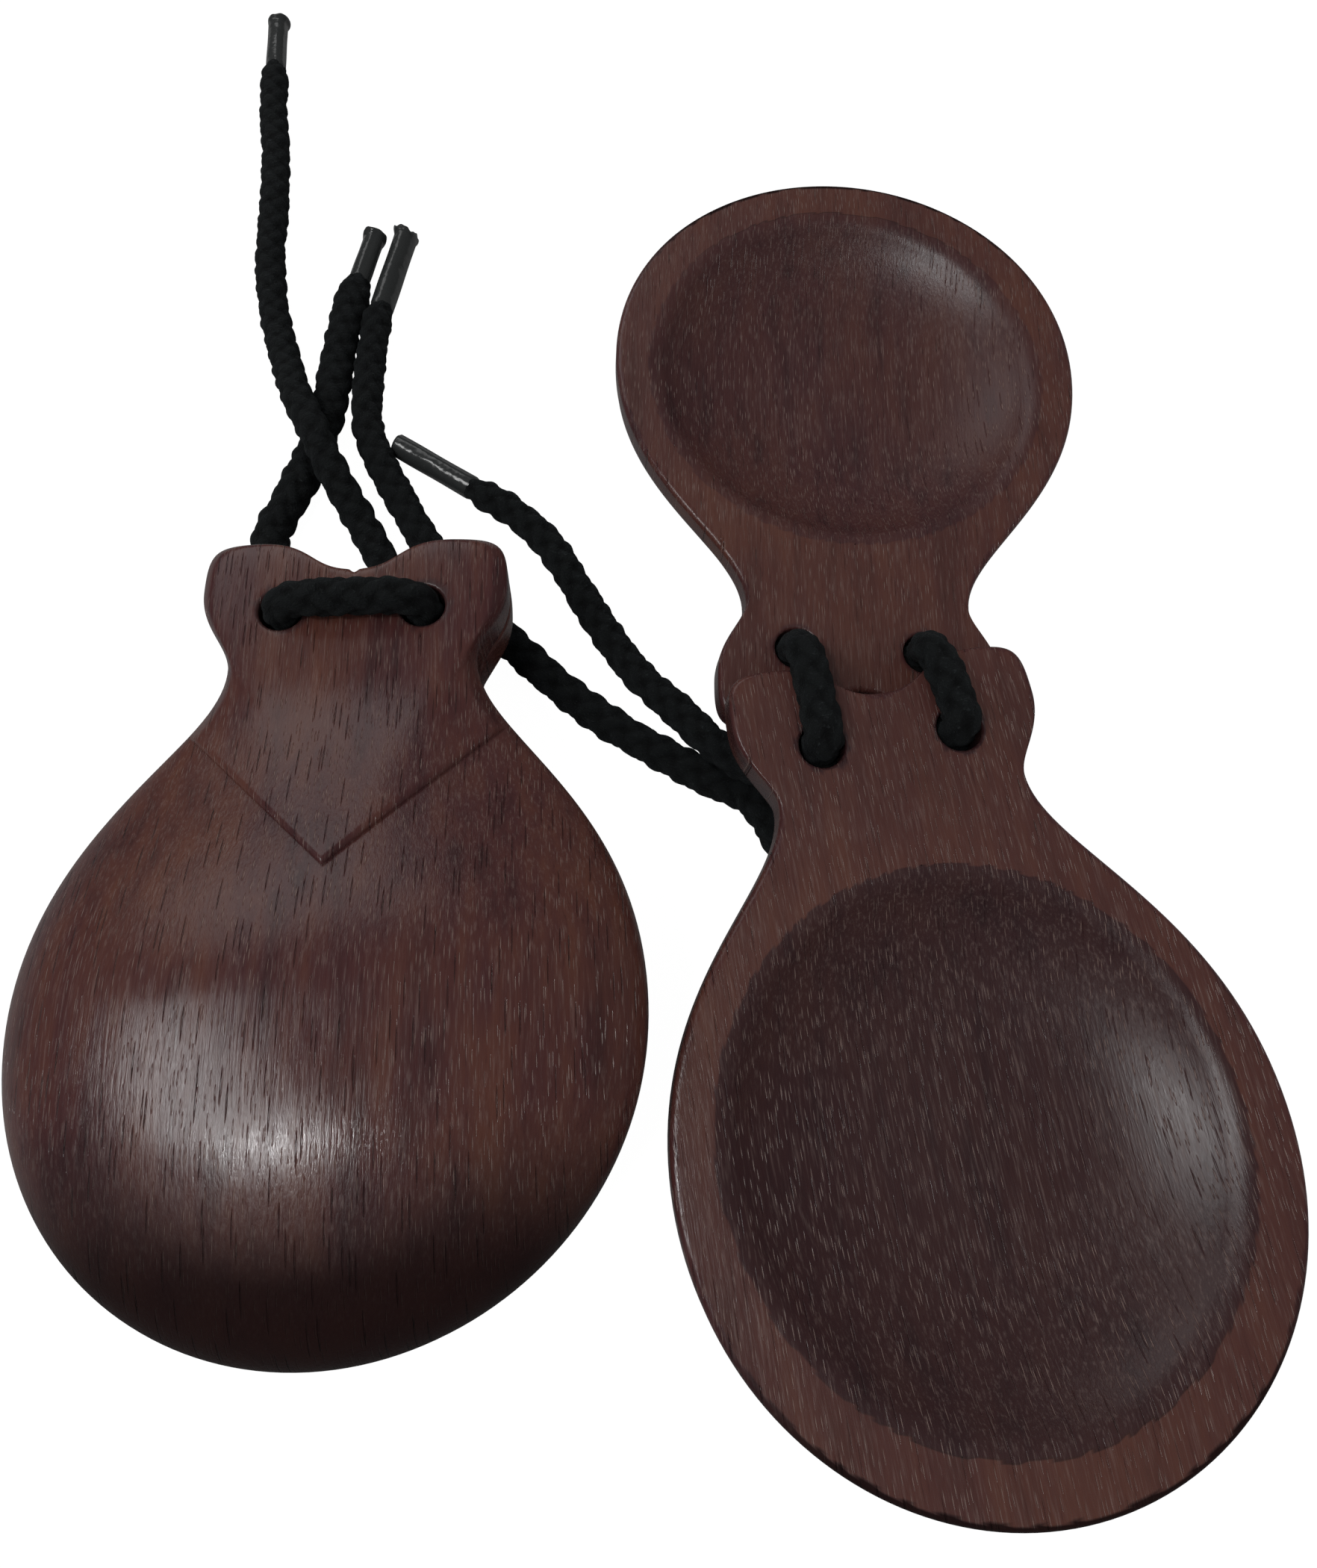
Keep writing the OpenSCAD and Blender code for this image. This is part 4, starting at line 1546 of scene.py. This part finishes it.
@dataclass(frozen=True)
class Studio:
    """Camera, lamps, white surroundings and floor.

    Attributes:
        eye: the camera's place, in millimetres.
        down: how far the camera looks below the horizon, in degrees.
        roll: its turn about its own line of sight, in degrees.
        focal: focal length over the frame's long side.
        shift: lens shift, as shares of the frame's long side.
        daylight, mirrored: strength of the white room as light, and as seen in gloss.
        floor_grey, floor_glow: the floor's own colour, and its brightness to the camera.
        floor_share: how much of the floor's look is glow. The rest keeps the shadow.
        lamps: the lamps.
    """

    eye: tuple[float, float, float] = (-7.5, -51.9, 132.9)
    down: float = 66.9
    roll: float = 2.95
    focal: float = 0.64286
    shift: tuple[float, float] = (0.0313, -0.0623)
    daylight: float = 0.65
    mirrored: float = 0.07
    floor_grey: float = 0.22
    floor_glow: float = 1.33
    floor_share: float = 0.74
    lamps: tuple[Lamp, ...] = (
        Lamp("window", (-0.65, -0.18, 0.90), (-0.03, -0.03, 0.02), (0.34, 0.30), 2.7),
        Lamp("spot", (-0.366, -0.333, 1.043), (-0.036, -0.056, 0.030), (0.08, 0.07), 2.7),
        Lamp("sky", (-0.75, 1.15, 1.25), (0.0, 0.0, 0.0), (1.2, 0.8), 3.5),
    )

    def camera(self) -> None:
        """Sets the camera, looking along +Y and down, and rolled."""
        data = bpy.data.cameras.new("camera")
        data.sensor_width = 36.0
        data.lens = 36.0 * self.focal
        data.shift_x, data.shift_y = self.shift
        data.clip_start, data.clip_end = 0.01, 20.0
        down, roll = math.radians(self.down), math.radians(self.roll)
        ahead = np.array([0.0, math.cos(down), -math.sin(down)])
        right, up = np.array([1.0, 0.0, 0.0]), np.array([0.0, math.sin(down), math.cos(down)])
        x = math.cos(roll) * right + math.sin(roll) * up
        y = -math.sin(roll) * right + math.cos(roll) * up
        made = bpy.data.objects.new("camera", data)
        made.matrix_world = Matrix(
            [[x[i], y[i], -ahead[i], self.eye[i] * MM] for i in range(3)] + [[0, 0, 0, 1]]
        )
        bpy.context.scene.collection.objects.link(made)
        bpy.context.scene.camera = made

    def surroundings(self) -> None:
        """White room: pale light from all round, and plain white where the camera sees it."""
        world = bpy.data.worlds.new("surroundings")
        world.use_nodes = True
        bpy.context.scene.world = world
        tree = world.node_tree
        tree.nodes.remove(tree.nodes["Background"])
        lit, in_gloss, seen = (
            self.white(tree, strength) for strength in (self.daylight, self.mirrored, 1.0)
        )
        ray = tree.nodes.new("ShaderNodeLightPath")
        unseen = self.choose(tree, ray.outputs["Is Glossy Ray"], lit, in_gloss)
        room = self.choose(tree, ray.outputs["Is Camera Ray"], unseen, seen)
        tree.links.new(room, tree.nodes["World Output"].inputs["Surface"])

    @staticmethod
    def white(tree: bpy.types.NodeTree, strength: float) -> bpy.types.NodeSocket:
        """Adds a plain white background of that strength."""
        node = tree.nodes.new("ShaderNodeBackground")
        node.inputs["Color"].default_value = (1.0, 1.0, 1.0, 1.0)
        node.inputs["Strength"].default_value = strength
        return node.outputs[0]

    @staticmethod
    def choose(
        tree: bpy.types.NodeTree,
        ray: bpy.types.NodeSocket,
        other: bpy.types.NodeSocket,
        chosen: bpy.types.NodeSocket,
    ) -> bpy.types.NodeSocket:
        """Gives chosen to the rays that the first socket names, and other to the rest."""
        node = tree.nodes.new("ShaderNodeMixShader")
        for socket, value in zip(node.inputs, (ray, other, chosen)):
            tree.links.new(value, socket)
        return node.outputs[0]

    def floor(self) -> None:
        """White floor that keeps a soft shadow."""
        mesh, half = bpy.data.meshes.new("floor"), 3.0
        corners = [(-half, -half, 0), (half, -half, 0), (half, half, 0), (-half, half, 0)]
        mesh.from_pydata(corners, [], [(0, 1, 2, 3)])
        made = bpy.data.objects.new("floor", mesh)
        bpy.context.scene.collection.objects.link(made)
        n = Nodes("floor_white")
        n.finish((self.floor_grey, self.floor_grey, self.floor_grey, 1), 0.8)
        n.shader.inputs["Specular IOR Level"].default_value = 0.1
        glow = n.add("ShaderNodeEmission")
        glow.inputs["Strength"].default_value = self.floor_glow
        ray = n.add("ShaderNodeLightPath")
        seen = n.math("MAXIMUM", ray.outputs["Is Camera Ray"], ray.outputs["Is Transmission Ray"])
        share = n.math("MULTIPLY", seen, self.floor_share)
        look = self.choose(n.tree, share, n.shader.outputs[0], glow.outputs[0])
        n.feed(n.tree.nodes["Material Output"].inputs["Surface"], look)
        mesh.materials.append(n.material)

    def build(self) -> None:
        """Sets the whole studio up."""
        self.camera()
        self.surroundings()
        self.floor()
        for lamp in self.lamps:
            lamp.build()
        bpy.context.scene.view_settings.view_transform = "Standard"


def main() -> None:
    """Builds the camera, the cords and the shells."""
    logging.basicConfig(level=logging.INFO, format="%(name)s: %(message)s")
    Studio().build()
    form, braid = ShellForm(), Braid()
    woods = (
        OiledWood("open_near_wood", figure=(0.11, 0.02, 0.31), hollow_shade=0.6),
        OiledWood("open_far_wood", figure=(1.37, 0.53, 0.77), hollow_shade=0.12),
        OiledWood("closed_bottom_wood", figure=(2.19, 1.41, 0.13)),
        OiledWood("closed_top_wood", figure=(3.71, 2.83, 1.9)),
    )
    dress = Dresser(
        {wood.name: wood.material() for wood in woods}, BraidedYarn().material(), TipPlastic().material()
    )
    OpenPair(form, braid).build(dress)
    ClosedPair(form, braid).build(dress)
    log.info("sizes written")


if __name__ == "__main__":
    main()
